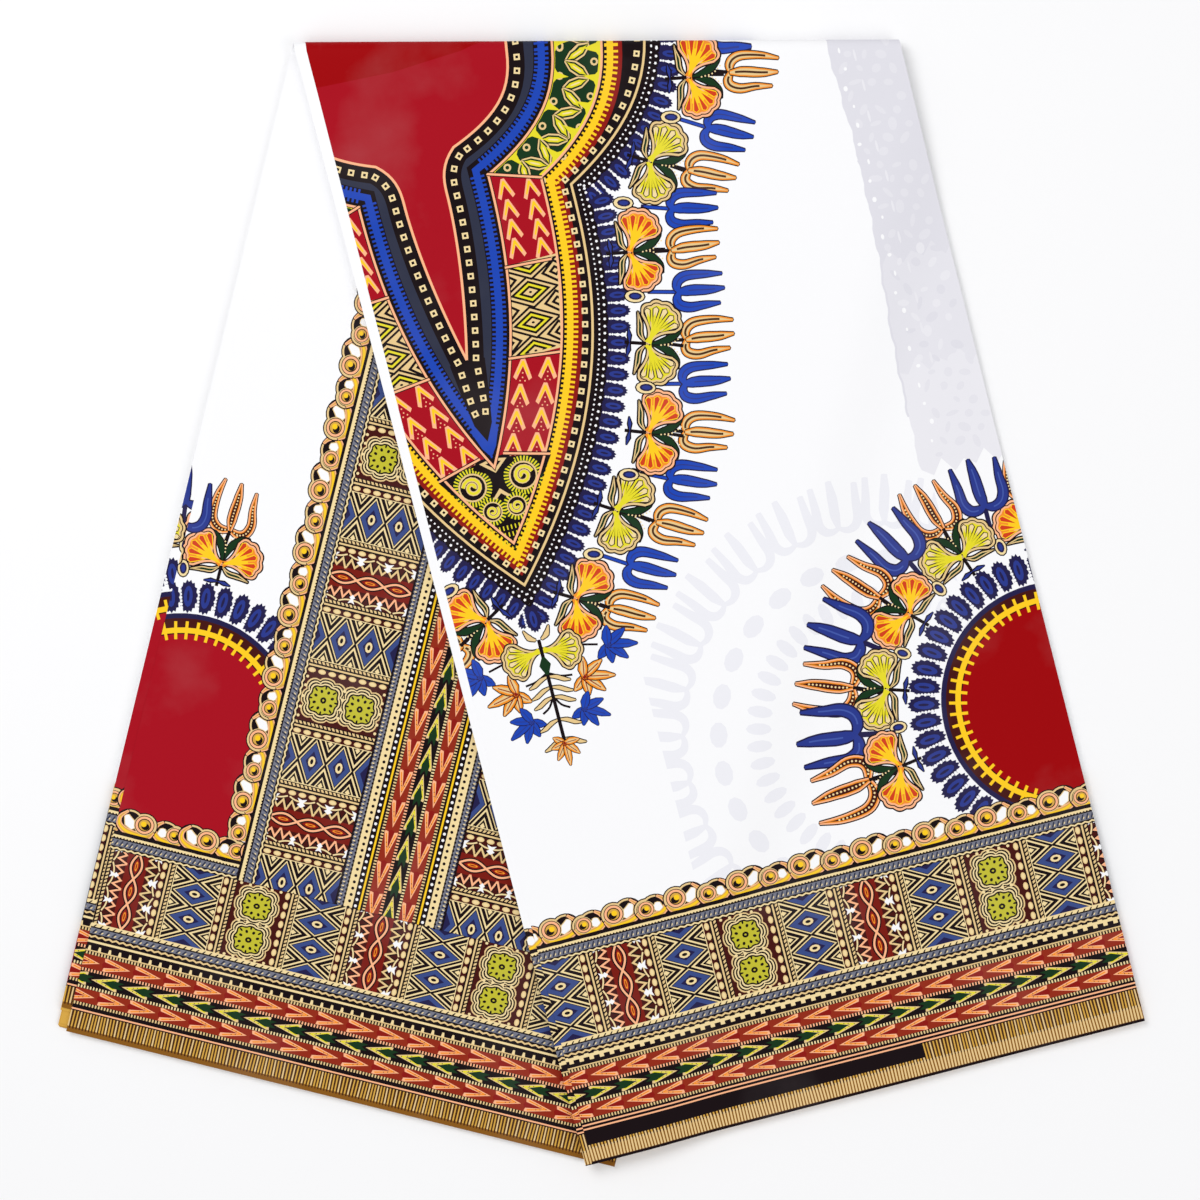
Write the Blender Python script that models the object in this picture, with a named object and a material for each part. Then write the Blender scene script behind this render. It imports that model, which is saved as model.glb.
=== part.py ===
"""A length of printed cotton, shop-folded to a strip and folded once over itself.

The cloth lies flat on a surface. Its strip is as long as the cloth is wide, selvedge to
selvedge. It is folded over along a line oblique to the strip, so two wings hang down from
the fold like a tent: the right wing lies over the left one, and drapes off it.

Solids: the layer that shows on each wing, and the hidden layers between, as one solid.
Units are metres. +Z is up, +Y runs from the hems to the fold, z = 0 is what it lies on.
"""

from math import cos, pi, radians, sin, tan

import bmesh
import bpy
from mathutils import Matrix

# Driving dimensions
SELVEDGE_TO_SELVEDGE = 1.171   # the cloth's woven width, and so the strip's length
STRIP_WIDTH = 0.3114           # shop fold, across the strip at its hem
SKEW = radians(14.15)          # each wing's turn away from the y axis
RIGHT_WING = 0.6184            # hem to the start of the bend, along the wing's left edge
LAYERS = 18                    # layers of cloth in the strip
CLOTH = 0.00027                # thickness of one layer as it lies in the stack
WALL = 0.0010                  # wall of a layer that shows
GAP = 0.0003                   # between one solid and the next
BEND_RADIUS = 0.0010           # hollow left inside the bend of the stack

STACK = LAYERS * CLOTH
TO_FACE = WALL + GAP           # from a wing's outside to its hidden layers
BEND_MIDDLE = BEND_RADIUS + STACK / 2
BEND_LENGTH = pi * BEND_MIDDLE / cos(SKEW)
LEFT_WING = SELVEDGE_TO_SELVEDGE - RIGHT_WING - BEND_LENGTH

# How the right wing comes down off the left one, across the left wing's hidden edge
DRAPE_STARTS = 0.012           # how far past that edge it stays up
DRAPE_WIDTH = 0.042            # over which it comes down to the surface
BEND_RISE = 0.030              # over which the wing rises to the top of the bend

# How far the top layer lies in from the left edge of the layers under it
RIGHT_INSET_AT_HEM = 0.0036
RIGHT_INSET_AT_BEND = 0.0063
LEFT_INSET = 0.0060

# How the stack spreads from its nominal width
FLARE_AT_BEND = 0.0025         # both sides, at the bend
LEFT_HEM_DRAWN_IN = 0.0005     # left side, at the left wing's hem

# The last stretch before a hem, where layers end at different lengths and lie lower
HEM_LENGTH = 0.028
HEM_SAG = 0.20                 # share of the left wing's thickness lost at its hem

# Soft swells of the right wing's top: height, waves across the strip, waves along it, turn
SWELLS = (
    (0.00045, 0.9, 1.6, 0.4),
    (0.00030, 1.7, -2.6, 1.9),
    (0.00018, 3.1, 4.3, 2.7),
)

# Steps of the hidden layers' edges, from the inside of the fold to its outside:
# share of the thickness, then how far the edge stands out from the nominal one at the
# right wing's left side, the left wing's left side, the right sides and the hems
EDGE_STEPS = (
    # share   right    left     sides    hems
    (0.000, -0.0018, -0.0004, -0.0022, -0.0034),
    (0.167, -0.0010, 0.0000, -0.0014, -0.0030),
    (0.333, -0.0016, -0.0012, -0.0020, -0.0024),
    (0.500, -0.0006, -0.0008, -0.0008, -0.0018),
    (0.667, -0.0012, -0.0020, -0.0016, -0.0015),
    (0.833, 0.0000, -0.0014, -0.0004, -0.0011),
    (1.000, -0.0004, -0.0020, -0.0010, -0.0008),
)
SECOND_LAYER_SHORT = 0.012     # the left wing's second layer ends this far above its hem

# A layer that shows has a rounded edge: share of the wall, then how far it stands out
ROUND_EDGE = (
    (0.0, -0.00025, -0.00025, -0.00025, -0.00025),
    (0.5, 0.0, 0.0, 0.0, 0.0),
    (1.0, -0.00025, -0.00025, -0.00025, -0.00025),
)

# Past the bend, the hidden layers take the room of the face that ends there
STEP_AT_BEND = 0.0006
STEP_SLOPE = 0.0001

# Columns across the strip and rows along it
RIGHT_COLUMNS = 24
LEFT_COLUMNS = 14
RIGHT_ROWS = 26
LEFT_ROWS = 18
HEM_ROWS = 4
BEND_STEPS = 10

# The right wing's hem starts at x = 0, y = 0 until the whole cloth is centred
BEND_Y = RIGHT_WING * cos(SKEW)


def smooth(value):
    """Ease from 0 to 1, flat outside that range."""
    value = min(1.0, max(0.0, value))
    return value * value * (3 - 2 * value)


def mix(low, high, share):
    return low + (high - low) * share


def bend_x(u):
    """x where the right wing's line u meets the start of the bend."""
    along = RIGHT_WING - u * tan(SKEW)
    return u * cos(SKEW) - along * sin(SKEW)


def past_left_wing(x, y):
    """Distance to the right of the left wing's hidden right edge."""
    edge_x = bend_x(STRIP_WIDTH) - tan(SKEW) * pi * BEND_MIDDLE
    return (x - edge_x) * cos(SKEW) - (y - BEND_Y) * sin(SKEW)


def rise_to_bend(y):
    return smooth(1 - (BEND_Y - y) / BEND_RISE)


def underside(x, y):
    """Height of the right wing's underside: on the left wing, or down on the surface."""
    down = smooth((past_left_wing(x, y) - DRAPE_STARTS) / DRAPE_WIDTH)
    return mix((STACK + GAP) * (1 - down), STACK + 2 * BEND_RADIUS, rise_to_bend(y))


def swell(u, v):
    """Unevenness of the right wing's top."""
    across = 2 * pi * u / STRIP_WIDTH
    along = 2 * pi * v / RIGHT_WING
    return sum(height * sin(m * across + n * along + turn)
               for height, m, n, turn in SWELLS)


def right_point(share, u, height, hem_out):
    """A point of the right wing; share runs from its hem (0) to the bend (1)."""
    length = RIGHT_WING - u * tan(SKEW)
    v = share * length - hem_out
    x = u * cos(SKEW) - v * sin(SKEW)
    y = u * sin(SKEW) + v * cos(SKEW)
    uneven = swell(u, v) * (1 - rise_to_bend(y)) * height / STACK
    return x, y, underside(x, y) + height + uneven


def bend_point(turn, u, height, _):
    """A point of the bend; turn runs from the right wing (0) to the left wing (1)."""
    radius = BEND_RADIUS + height
    x = bend_x(u) - tan(SKEW) * pi * BEND_MIDDLE * turn
    return (x, BEND_Y + radius * sin(pi * turn),
            STACK + BEND_RADIUS + radius * cos(pi * turn))


def left_point(share, u, height, hem_out):
    """A point of the left wing; share runs from the bend (0) to its hem (1)."""
    length = LEFT_WING + u * tan(SKEW)
    v = share * length + hem_out
    x = bend_x(u) - tan(SKEW) * pi * BEND_MIDDLE - v * sin(SKEW)
    y = BEND_Y - v * cos(SKEW)
    sag = HEM_SAG * smooth(1 - (length - v) / HEM_LENGTH)
    return x, y, (STACK - height) * (1 - sag)


POINT = {"right": right_point, "bend": bend_point, "left": left_point}


def progress(stretch, share):
    """How far round the fold a station is: 0 on the right wing, 1 on the left."""
    return {"right": 0.0, "bend": share, "left": 1.0}[stretch]


def flare(stretch, share):
    """How far the sides stand out from the nominal strip."""
    if stretch == "right":
        return FLARE_AT_BEND * share
    if stretch == "bend":
        return FLARE_AT_BEND
    return mix(FLARE_AT_BEND, -LEFT_HEM_DRAWN_IN, share)


def near_hem(stretch, share):
    """0 away from the hems, and evenly up to 1 at a hem."""
    to_hem = {"right": share * RIGHT_WING, "bend": HEM_LENGTH,
              "left": (1 - share) * LEFT_WING}[stretch]
    return max(0.0, 1 - to_hem / HEM_LENGTH)


def slab(name, stations, columns, steps, inset, colour):
    """A closed solid that follows the folded strip.

    stations: rows of (stretch, share, inner height, outer height), in order along the
    strip. Heights are measured through the stack, from the inside of the fold.
    steps: the edge's rows, as in EDGE_STEPS. inset(stretch, share) is the left side's.
    """
    mesh = bmesh.new()
    last_row, last_column, last_step = len(stations) - 1, columns, len(steps) - 1
    points = {}

    def point(row, column, step):
        key = (row, column, step)
        if key not in points:
            stretch, share, inner, outer = stations[row]
            through, right_out, left_out, side_out, hem = steps[step]
            left_side = mix(right_out, left_out, progress(stretch, share))
            low = inset(stretch, share) - flare(stretch, share) - left_side
            high = STRIP_WIDTH + flare(stretch, share) + side_out
            u = mix(low, high, column / columns)
            if stretch == "left" and inner > 0:
                hem -= SECOND_LAYER_SHORT * smooth(1 - 3 * through)
            hem_out = hem * near_hem(stretch, share)
            height = mix(inner, outer, through)
            points[key] = mesh.verts.new(POINT[stretch](share, u, height, hem_out))
        return points[key]

    def quad(*keys):
        mesh.faces.new([point(*key) for key in keys])

    for row in range(last_row):
        for column in range(last_column):
            for step in (0, last_step):
                quad((row, column, step), (row, column + 1, step),
                     (row + 1, column + 1, step), (row + 1, column, step))
        for step in range(last_step):
            for column in (0, last_column):
                quad((row, column, step), (row + 1, column, step),
                     (row + 1, column, step + 1), (row, column, step + 1))
    for column in range(last_column):
        for step in range(last_step):
            for row in (0, last_row):
                quad((row, column, step), (row, column + 1, step),
                     (row, column + 1, step + 1), (row, column, step + 1))
    bmesh.ops.recalc_face_normals(mesh, faces=mesh.faces)

    data = bpy.data.meshes.new(name)
    mesh.to_mesh(data)
    mesh.free()
    data.shade_smooth()
    data.set_sharp_from_angle(angle=radians(40))
    body = bpy.data.objects.new(name, data)
    bpy.context.scene.collection.objects.link(body)
    data.materials.append(cotton(name, colour))
    return body


def cotton(name, colour):
    material = bpy.data.materials.new(name)
    material.use_nodes = True
    shader = material.node_tree.nodes["Principled BSDF"]
    shader.inputs["Base Color"].default_value = (*colour, 1.0)
    shader.inputs["Roughness"].default_value = 0.7
    shader.inputs["Metallic"].default_value = 0.0
    return material


def rows(stretch, start, end, count, inner, outer):
    """Evenly spaced stations along one stretch, both ends included."""
    return [(stretch, mix(start, end, row / count), inner, outer)
            for row in range(count + 1)]


def left_rows(start, inner, outer):
    """Stations down the left wing, closer together at its hem."""
    hem_start = 1 - HEM_LENGTH / LEFT_WING
    down = rows("left", start, hem_start, LEFT_ROWS, inner, outer)
    return down + rows("left", hem_start, 1, HEM_ROWS, inner, outer)[1:]


def right_wing_face():
    """The outermost layer: the right wing's top, and round the bend to the surface."""
    inner, outer = STACK - WALL, STACK
    stations = rows("right", 0, 1, RIGHT_ROWS, inner, outer)
    stations += rows("bend", 1 / BEND_STEPS, 1, BEND_STEPS - 1, inner, outer)
    return slab("right_wing_face", stations, RIGHT_COLUMNS, ROUND_EDGE,
                right_inset, (0.90, 0.88, 0.87))


def right_inset(stretch, share):
    if stretch == "right":
        return mix(RIGHT_INSET_AT_HEM, RIGHT_INSET_AT_BEND, share)
    return RIGHT_INSET_AT_BEND


def left_wing_face():
    """The innermost layer: the left wing's top, up into the fold."""
    start = (STEP_AT_BEND + GAP) / LEFT_WING
    stations = left_rows(start, 0.0, WALL)
    return slab("left_wing_face", stations, LEFT_COLUMNS, ROUND_EDGE,
                lambda stretch, share: LEFT_INSET, (0.62, 0.36, 0.16))


def hidden_layers():
    """All the layers between the two faces, through both wings and the bend."""
    upper = (0.0, STACK - TO_FACE)
    lower = (TO_FACE, STACK)
    stations = rows("right", 0, 1, RIGHT_ROWS, *upper)
    stations += rows("bend", 1 / BEND_STEPS, 1, BEND_STEPS - 1, *upper)
    stations.append(("left", (STEP_AT_BEND - STEP_SLOPE) / LEFT_WING, *upper))
    stations += left_rows(STEP_AT_BEND / LEFT_WING, *lower)
    return slab("hidden_layers", stations, RIGHT_COLUMNS, EDGE_STEPS,
                lambda stretch, share: 0.0, (0.86, 0.84, 0.82))


def centre(bodies):
    """Put the origin under the middle of the whole cloth's box."""
    points = [vertex.co for body in bodies for vertex in body.data.vertices]
    middle_x = (min(p.x for p in points) + max(p.x for p in points)) / 2
    middle_y = (min(p.y for p in points) + max(p.y for p in points)) / 2
    for body in bodies:
        body.data.transform(Matrix.Translation((-middle_x, -middle_y, 0)))


def main():
    for item in list(bpy.data.objects):
        bpy.data.objects.remove(item, do_unlink=True)
    centre([right_wing_face(), left_wing_face(), hidden_layers()])


main()
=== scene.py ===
"""A length of dashiki-print cotton, folded to a strip and folded over into two wings.

The print is set out in steps of a drawing ruler, as on the mill's point paper, and every
area of ink is a flat face of the cloth's own mesh. The cloth then follows the fold.
"""

from collections import namedtuple
from math import atan2, cos, hypot, pi, radians, sin, tan

import bmesh
import bpy
import numpy as np
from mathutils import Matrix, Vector, geometry


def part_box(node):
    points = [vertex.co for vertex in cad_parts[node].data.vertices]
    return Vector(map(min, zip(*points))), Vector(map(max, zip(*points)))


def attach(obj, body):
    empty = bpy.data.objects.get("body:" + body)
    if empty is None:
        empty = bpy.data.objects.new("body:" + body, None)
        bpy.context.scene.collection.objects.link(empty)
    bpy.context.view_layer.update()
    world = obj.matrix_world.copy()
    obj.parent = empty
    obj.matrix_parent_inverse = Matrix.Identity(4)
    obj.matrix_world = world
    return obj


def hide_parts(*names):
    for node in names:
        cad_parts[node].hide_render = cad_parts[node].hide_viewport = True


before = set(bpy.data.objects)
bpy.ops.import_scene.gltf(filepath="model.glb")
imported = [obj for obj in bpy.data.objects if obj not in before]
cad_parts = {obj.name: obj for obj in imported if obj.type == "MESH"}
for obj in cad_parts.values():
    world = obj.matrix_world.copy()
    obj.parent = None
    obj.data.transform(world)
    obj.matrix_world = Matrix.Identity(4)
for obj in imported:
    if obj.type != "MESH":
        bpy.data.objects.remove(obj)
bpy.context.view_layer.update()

# ---------------------------------------------------------------- the cloth, as in part.py
SELVEDGE_TO_SELVEDGE = 1.171
STRIP_WIDTH = 0.3114
SKEW = radians(14.15)
RIGHT_WING = 0.6184
STACK = 18 * 0.00027
BEND_RADIUS = 0.0010
BEND_MIDDLE = BEND_RADIUS + STACK / 2
BEND_LENGTH = pi * BEND_MIDDLE / cos(SKEW)
LEFT_WING = SELVEDGE_TO_SELVEDGE - RIGHT_WING - BEND_LENGTH
GAP = 0.0003
DRAPE_STARTS = 0.012
DRAPE_WIDTH = 0.042
BEND_RISE = 0.030
RIGHT_INSET_AT_HEM = 0.0036
RIGHT_INSET_AT_BEND = 0.0063
LEFT_INSET = 0.0060
FLARE_AT_BEND = 0.0025
LEFT_HEM_DRAWN_IN = 0.0005
HEM_LENGTH = 0.028
HEM_SAG = 0.20
SECOND_LAYER_SHORT = 0.012
SWELLS = ((0.00045, 0.9, 1.6, 0.4), (0.00030, 1.7, -2.6, 1.9), (0.00018, 3.1, 4.3, 2.7))
BEND_Y = RIGHT_WING * cos(SKEW)

wing_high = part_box("right_wing_face")[1]
HEM_CORNER = np.array([
    wing_high.x - STRIP_WIDTH * cos(SKEW),
    wing_high.y - (BEND_RADIUS + STACK) - BEND_Y,
])

# ---------------------------------------------------------------- the print's own sizes
STEP = 0.539          # mm, one step of the drawing ruler
CLOTH_SHOWN = 0.00045 # thickness of a layer that shows
SECOND_LAYER_WIDTH = 0.016 # how far the second layer reaches in under the first


def srgb(code):
    """A dye's red, green and blue from its six-figure shade card code."""
    parts = [int(code[i:i + 2], 16) / 255 for i in (0, 2, 4)]
    return tuple(c / 12.92 if c <= 0.04045 else ((c + 0.055) / 1.055) ** 2.4 for c in parts)


# the crimson dye is the cloth's red made paler and pinker by a painted sheen; ruby is that red without the
# sheen
DYES = {
    name: srgb(code) for name, code in {
        "white": "FAFAFC", "crimson_with_sheen": "A80C1E", "maroon": "45130F", "black": "170C10",
        "navy": "231F4A", "blue": "1E46B4", "slate": "2F3346", "indigo": "2B3A8C",
        "gold": "FFCE22", "orange": "F5922A", "lemon": "E8DC2C", "cream": "F4DCA4",
        "peach": "FFB98C", "green": "16361C", "dusk": "777987", "wheat": "D9A94A",
        "bark": "4A2A12", "ghost": "EFEFF5", "brick": "8E1812", "sand": "E9C98E",
        "denim": "4459A8", "lime": "C4BE34", "amber": "8A5A1C", "rust": "7A1A10",
        "ruby": "9E0006", "henna": "942C18", "scarlet": "D2401E", "pall": "E1E0E8",
        "haze": "E6E5EC", "mist": "EBEAF0", "marine": "3A4C86",
    }.items()
}
DYE_NUMBER = {name: i for i, name in enumerate(DYES)}
DYE_TABLE = np.array(list(DYES.values()))


# ---------------------------------------------------------------- drawing with areas of ink
def smooth(t):
    t = np.clip(t, 0, 1)
    return t * t * (3 - 2 * t)


def curve(points, cuts=5):
    """A smooth line through the points."""
    p = np.asarray(points, float)
    p = np.vstack([2 * p[0] - p[1], p, 2 * p[-1] - p[-2]])
    out = []
    for a, b, c, d in zip(p[:-3], p[1:-2], p[2:-1], p[3:]):
        for t in np.arange(cuts) / cuts:
            out.append(0.5 * (2 * b + (c - a) * t + (2 * a - 5 * b + 4 * c - d) * t * t
                              + (3 * b - a - 3 * c + d) * t ** 3))
    out.append(p[-2])
    return np.array(out)


def ring(x, y, rx, ry=None, sides=12, turn=0.0):
    ry = rx if ry is None else ry
    a = np.arange(sides) * 2 * pi / sides
    px, py = rx * np.cos(a), ry * np.sin(a)
    return np.column_stack([x + px * cos(turn) - py * sin(turn), y + px * sin(turn) + py * cos(turn)])


def sideways(line, distance, closed=False):
    """The line moved to its left, mitred at its corners. distance is one value or one a point."""
    line = np.asarray(line, float)
    if closed:
        ahead, behind = np.roll(line, -1, 0) - line, line - np.roll(line, 1, 0)
    else:
        steps = np.diff(line, axis=0)
        ahead, behind = np.vstack([steps, steps[-1:]]), np.vstack([steps[:1], steps])

    def unit(d):
        return d / np.maximum(np.hypot(d[:, 0], d[:, 1]), 1e-9)[:, None]
    a = unit(ahead)
    middle = unit(a + unit(behind))
    stretch = distance / np.clip((middle * a).sum(1), 0.45, 1)
    return line + stretch[:, None] * np.column_stack([-middle[:, 1], middle[:, 0]])


def along(line, pitch, start=0.0):
    """Evenly spaced places on a line: x, y and the direction there."""
    line = np.asarray(line, float)
    steps = np.diff(line, axis=0)
    run = np.concatenate([[0], np.cumsum(np.hypot(steps[:, 0], steps[:, 1]))])
    for s in np.arange(start, run[-1], pitch):
        i = min(np.searchsorted(run, s, "right") - 1, len(steps) - 1)
        t = (s - run[i]) / max(run[i + 1] - run[i], 1e-9)
        x, y = line[i] + t * steps[i]
        yield x, y, atan2(steps[i][1], steps[i][0])


def cut_to(points, window):
    """What of an area lies inside a convex window given anticlockwise."""
    out = [tuple(p) for p in points]
    for (ax, ay), (bx, by) in zip(window, np.roll(window, -1, 0)):
        if not out:
            break
        side = [(bx - ax) * (y - ay) - (by - ay) * (x - ax) for x, y in out]
        kept = []
        for i, (p, s) in enumerate(zip(out, side)):
            q, r = out[i - 1], side[i - 1]
            if (s >= 0) != (r >= 0):
                t = r / (r - s)
                kept.append((q[0] + t * (p[0] - q[0]), q[1] + t * (p[1] - q[1])))
            if s >= 0:
                kept.append(p)
        out = kept
    return out


class Block:
    """A carved printing block: areas of ink, each over the ones before it, in steps."""

    def __init__(self):
        self.areas = []

    def area(self, ink, points):
        if len(points) > 2:
            self.areas.append((DYE_NUMBER[ink], np.asarray(points, float)))

    def box(self, ink, x0, y0, x1, y1):
        self.area(ink, [(x0, y0), (x1, y0), (x1, y1), (x0, y1)])

    def oval(self, ink, x, y, rx, ry=None, sides=12, turn=0.0):
        self.area(ink, ring(x, y, rx, ry, sides, turn))

    def ribbon(self, ink, line, near, far, closed=False):
        """Ink between two distances to the left of a line."""
        a, b = sideways(line, near, closed), sideways(line, far, closed)
        count = len(a)
        for i in range(count if closed else count - 1):
            j = (i + 1) % count
            self.area(ink, [a[i], a[j], b[j], b[i]])

    def line(self, ink, line, width, closed=False):
        self.ribbon(ink, line, -width / 2, width / 2, closed)

    def ticks(self, ink, line, pitch, near, far, width, start=0.0):
        """Short strokes across a line."""
        for x, y, a in along(line, pitch, start):
            c, s = cos(a), sin(a)
            w = width / 2
            self.area(ink, [(x + u * c - v * s, y + u * s + v * c)
                            for u, v in ((-w, near), (w, near), (w, far), (-w, far))])

    def dots(self, ink, line, pitch, beside, radius, start=0.0, sides=6):
        for x, y, a in along(line, pitch, start):
            self.oval(ink, x - beside * sin(a), y + beside * cos(a), radius, sides=sides, turn=a)

    def petal(self, line, widths, layers):
        """A leaf round a centre line, printed once for each (ink, grow)."""
        line = np.asarray(line, float)
        t = np.linspace(0, 1, len(line))
        wide = np.interp(t, np.linspace(0, 1, len(widths)), widths) / 2
        tip = line[-1] - line[-2]
        tail = line[0] - line[1]
        for ink, grow in layers:
            w = np.maximum(wide + grow, 0.15)
            left, right = sideways(line, w), sideways(line, -w)
            end = line[-1] + tip / hypot(*tip) * max(grow, 0)
            start = line[0] + tail / hypot(*tail) * max(grow, 0)
            self.area(ink, np.vstack([[start], right, [end], left[::-1]]))

    def stamp(self, block, x=0.0, y=0.0, turn=0.0, size=1.0, mirror=False, window=None):
        c, s = cos(turn), sin(turn)
        for ink, p in block.areas:
            px = -p[:, 0] if mirror else p[:, 0]
            q = np.column_stack([x + size * (px * c - p[:, 1] * s), y + size * (px * s + p[:, 1] * c)])
            if window is not None:
                q = np.array(cut_to(q, window))
            if len(q) > 2:
                self.areas.append((ink, q))


# ---------------------------------------------------------------- border blocks
PANEL = 62.2          # pitch of the border's panels
PANEL_TALL = 82.0
HALF_PANEL = PANEL / 2 - 7.0
PANEL_WINDOW = np.array([(-HALF_PANEL, 0), (HALF_PANEL, 0), (HALF_PANEL, PANEL_TALL),
                         (-HALF_PANEL, PANEL_TALL)])


def rope(x0, x1):
    """A twisted dusk-blue cord between pale ones, 16 steps tall."""
    b = Block()
    b.box("black", x0, 0, x1, 16)
    b.box("dusk", x0, 5.4, x1, 11.0)
    b.box("cream", x0, 12.4, x1, 16)
    for x in np.arange(x0 + 1, x1, 6.6):
        b.area("slate", [(x, 6.0), (x + 2.0, 6.0), (x + 5.0, 10.2), (x + 3.0, 10.2)])
        b.area("cream", [(x + 2.6, 6.4), (x + 4.0, 6.4), (x + 5.4, 8.2), (x + 4.0, 8.2)])
        b.area("black", [(x, 12.4), (x + 1.8, 12.4), (x + 3.6, 14.8), (x + 2.2, 14.8)])
    xs = np.arange(x0, x1 + 3.6, 3.6)
    b.line("sand", np.column_stack([xs, 2.6 + np.where(np.arange(len(xs)) % 2, 0.8, -0.8)]), 1.7)
    return b


def chevrons(x0, x1, first, pitch, ground, outline, heart, notch, pips):
    """A row of chevrons pointing to -x, 14 steps tall about y = 0."""
    b = Block()
    b.box(ground, x0, -7.4, x1, 7.4)
    for x in np.arange(first - pitch * np.ceil((first - x0) / pitch) - pitch, x1, pitch):
        b.area(notch, [(x + 7, 0), (x + 27, 4.6), (x + 29, 0), (x + 27, -4.6)])
        b.area(outline, [(x, 0), (x + 25, 7.0), (x + 27.4, 6.6), (x + 26.6, 3.2), (x + 9.5, 0),
                         (x + 26.6, -3.2), (x + 27.4, -6.6), (x + 25, -7.0)])
        b.area(heart,
               [(x + 3.4, 0), (x + 24, 5.6), (x + 25, 4.4), (x + 8.4, 0), (x + 25, -4.4), (x + 24, -5.6)])
        for d, e in ((5.6, 0), (11.5, 1.7), (11.5, -1.7), (15.6, 2.7), (15.6, -2.7)):
            b.oval(pips, x + d, e, 0.65, sides=4)
    return b


def chevron_triple(x0, x1, spread, tall, flip=False, green_first=0.0):
    """Red, green and red rows of chevrons between rows of small dots."""
    b = Block()
    b.box("black", x0, -1.5 * spread - 3, x1, 1.5 * spread + 3)
    red = chevrons(x0, x1, 2.0, 31.4, "henna", "peach", "orange", "brick", "bark")
    red.areas = [(i, p * [1, tall / 14]) for i, p in red.areas]
    green = chevrons(-x1, -x0, -green_first, 31.4, "black", "sand", "lemon", "black", "green")
    for x in np.arange(green_first - 31.4 * np.ceil((green_first - x0) / 31.4) - 31.4, x1, 31.4):
        green.area("green",
                   [(-x - 20, 0), (-x - 9, 4.2), (-x + 2, 3.4), (-x - 4, 0), (-x + 2, -3.4), (-x - 9, -4.2)])
    green.areas = [(i, p * [1, tall / 14]) for i, p in green.areas]
    b.stamp(red, y=-spread)
    b.stamp(red, x=3, y=spread)
    b.stamp(green, mirror=True)
    for y, ink in ((-1.5 * spread, "sand"), (-0.5 * spread, "cream"), (0.5 * spread, "peach"),
                   (1.5 * spread, "sand")):
        edge = [(x0, y), (x1, y)]
        b.line("black", edge, 3.4)
        b.ticks(ink, edge, 3.1, -1.5, 1.5, 1.5)
    if flip:
        b.areas = [(i, p * [-1, 1] + [x0 + x1, 0]) for i, p in b.areas]
    return b


def diamond(x, y, rx, ry):
    return [(x + rx, y), (x, y + ry), (x - rx, y), (x, y - ry)]


def lozenge_panel():
    """Two blue lozenges with eyes, half ones above and below, and dotted corners."""
    b = Block()
    b.box("black", -HALF_PANEL, 0, HALF_PANEL, PANEL_TALL)
    full = Block()
    for y in (14, 42, 70):
        for side in (-1, 1):
            full.area("cream", [(side * 3, y), (side * 26, y + 13.6), (side * 26, y - 13.6)])
            full.area("black", [(side * 6.5, y), (side * 27, y + 12.2), (side * 27, y - 12.2)])
            full.area("cream", [(side * 12.5, y), (side * 23.6, y + 6.4), (side * 23.6, y - 6.4)])
            full.area("black", [(side * 14.8, y), (side * 24, y + 5.2), (side * 24, y - 5.2)])
            full.area("cream",
                      [(side * 18.2, y), (side * 22.0, y + 2.6), (side * 23.6, y), (side * 22.0, y - 2.6)])
    for y in (0, 28, 56, 84):
        for ink, rx, ry in (("cream", 22.4, 13.2), ("black", 20.4, 11.9), ("marine", 19.0, 11.1),
                            ("navy", 10.6, 6.2)):
            full.area(ink, diamond(0, y, rx, ry))
    for y in (28, 56):
        full.oval("navy", 0, y, 7.6, 4.6, 10)
        full.oval("cream", 0, y, 5.4, 3.6, 10)
        full.oval("black", 0, y, 2.8, 1.6, 8)
    for x in (-HALF_PANEL, HALF_PANEL):
        full.box("cream", x - 0.9, 0, x + 0.9, PANEL_TALL)
    b.stamp(full, window=PANEL_WINDOW)
    return b


def zigzag_panel():
    """A chain of lenses between zigzags, with small white forked leaves at the sides."""
    b = Block()
    b.box("maroon", -HALF_PANEL, 0, HALF_PANEL, PANEL_TALL)
    b.box("rust", -10.4, 0, 10.4, PANEL_TALL)
    full = Block()
    for side in (-1, 1):
        for y in (-14, 14, 42, 70):
            zig = np.array([(9.4, y), (19.0, y + 4.4), (11.6, y + 9.2), (17.2, y + 14), (11.6, y + 18.8),
                            (19.0, y + 23.6), (9.4, y + 28)])
            full.line("black", zig * [side, 1] + [side * 2.3, 0], 2.4)
            full.line("peach" if side < 0 else "sand", zig * [side, 1], 1.9)
            scallop = curve([(23.4, y + 1), (21.0, y + 7), (20.2, y + 14), (21.0, y + 21), (23.4, y + 27)], 3)
            full.line("cream", scallop * [side, 1], 1.5)
        for y in (0, 28, 56, 84):
            grow = 1.0 if side < 0 else 1.45
            full.area("white", [(side * (14.6 + a), y + b * grow) for a, b in (
                (0, 0), (3.0, 2.9), (4.8, 1.2), (9.4, 3.4), (8.0, 0), (9.4, -3.4), (4.8, -1.2), (3.0, -2.9))])
    t = np.linspace(-14, PANEL_TALL + 17, 49)
    wave = 5.4 * np.sin(t * pi / 28)
    for ink, wide in (("black", 4.6), ("peach", 2.0)):
        for sign in (-1, 1):
            full.line(ink, np.column_stack([sign * wave, t]), wide)
    for y in (14, 42, 70):
        full.oval("brick", 0, y, 2.7, 7.6, 10)
        full.oval("orange", 0, y, 1.5, 5.6, 8)
        full.oval("brick", 0, y, 0.7, 3.6, 6)
    b.stamp(full, window=PANEL_WINDOW)
    return b


def lobed(x, y, radius, depth, lobes=8, sides=40):
    a = np.arange(sides) * 2 * pi / sides
    r = (radius + depth * np.abs(np.cos(lobes * a / 2)) ** 0.6 - depth / 2) * (1 - 0.05 * np.cos(4 * a))
    return np.column_stack([x + r * np.cos(a), y + r * np.sin(a)])


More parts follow.
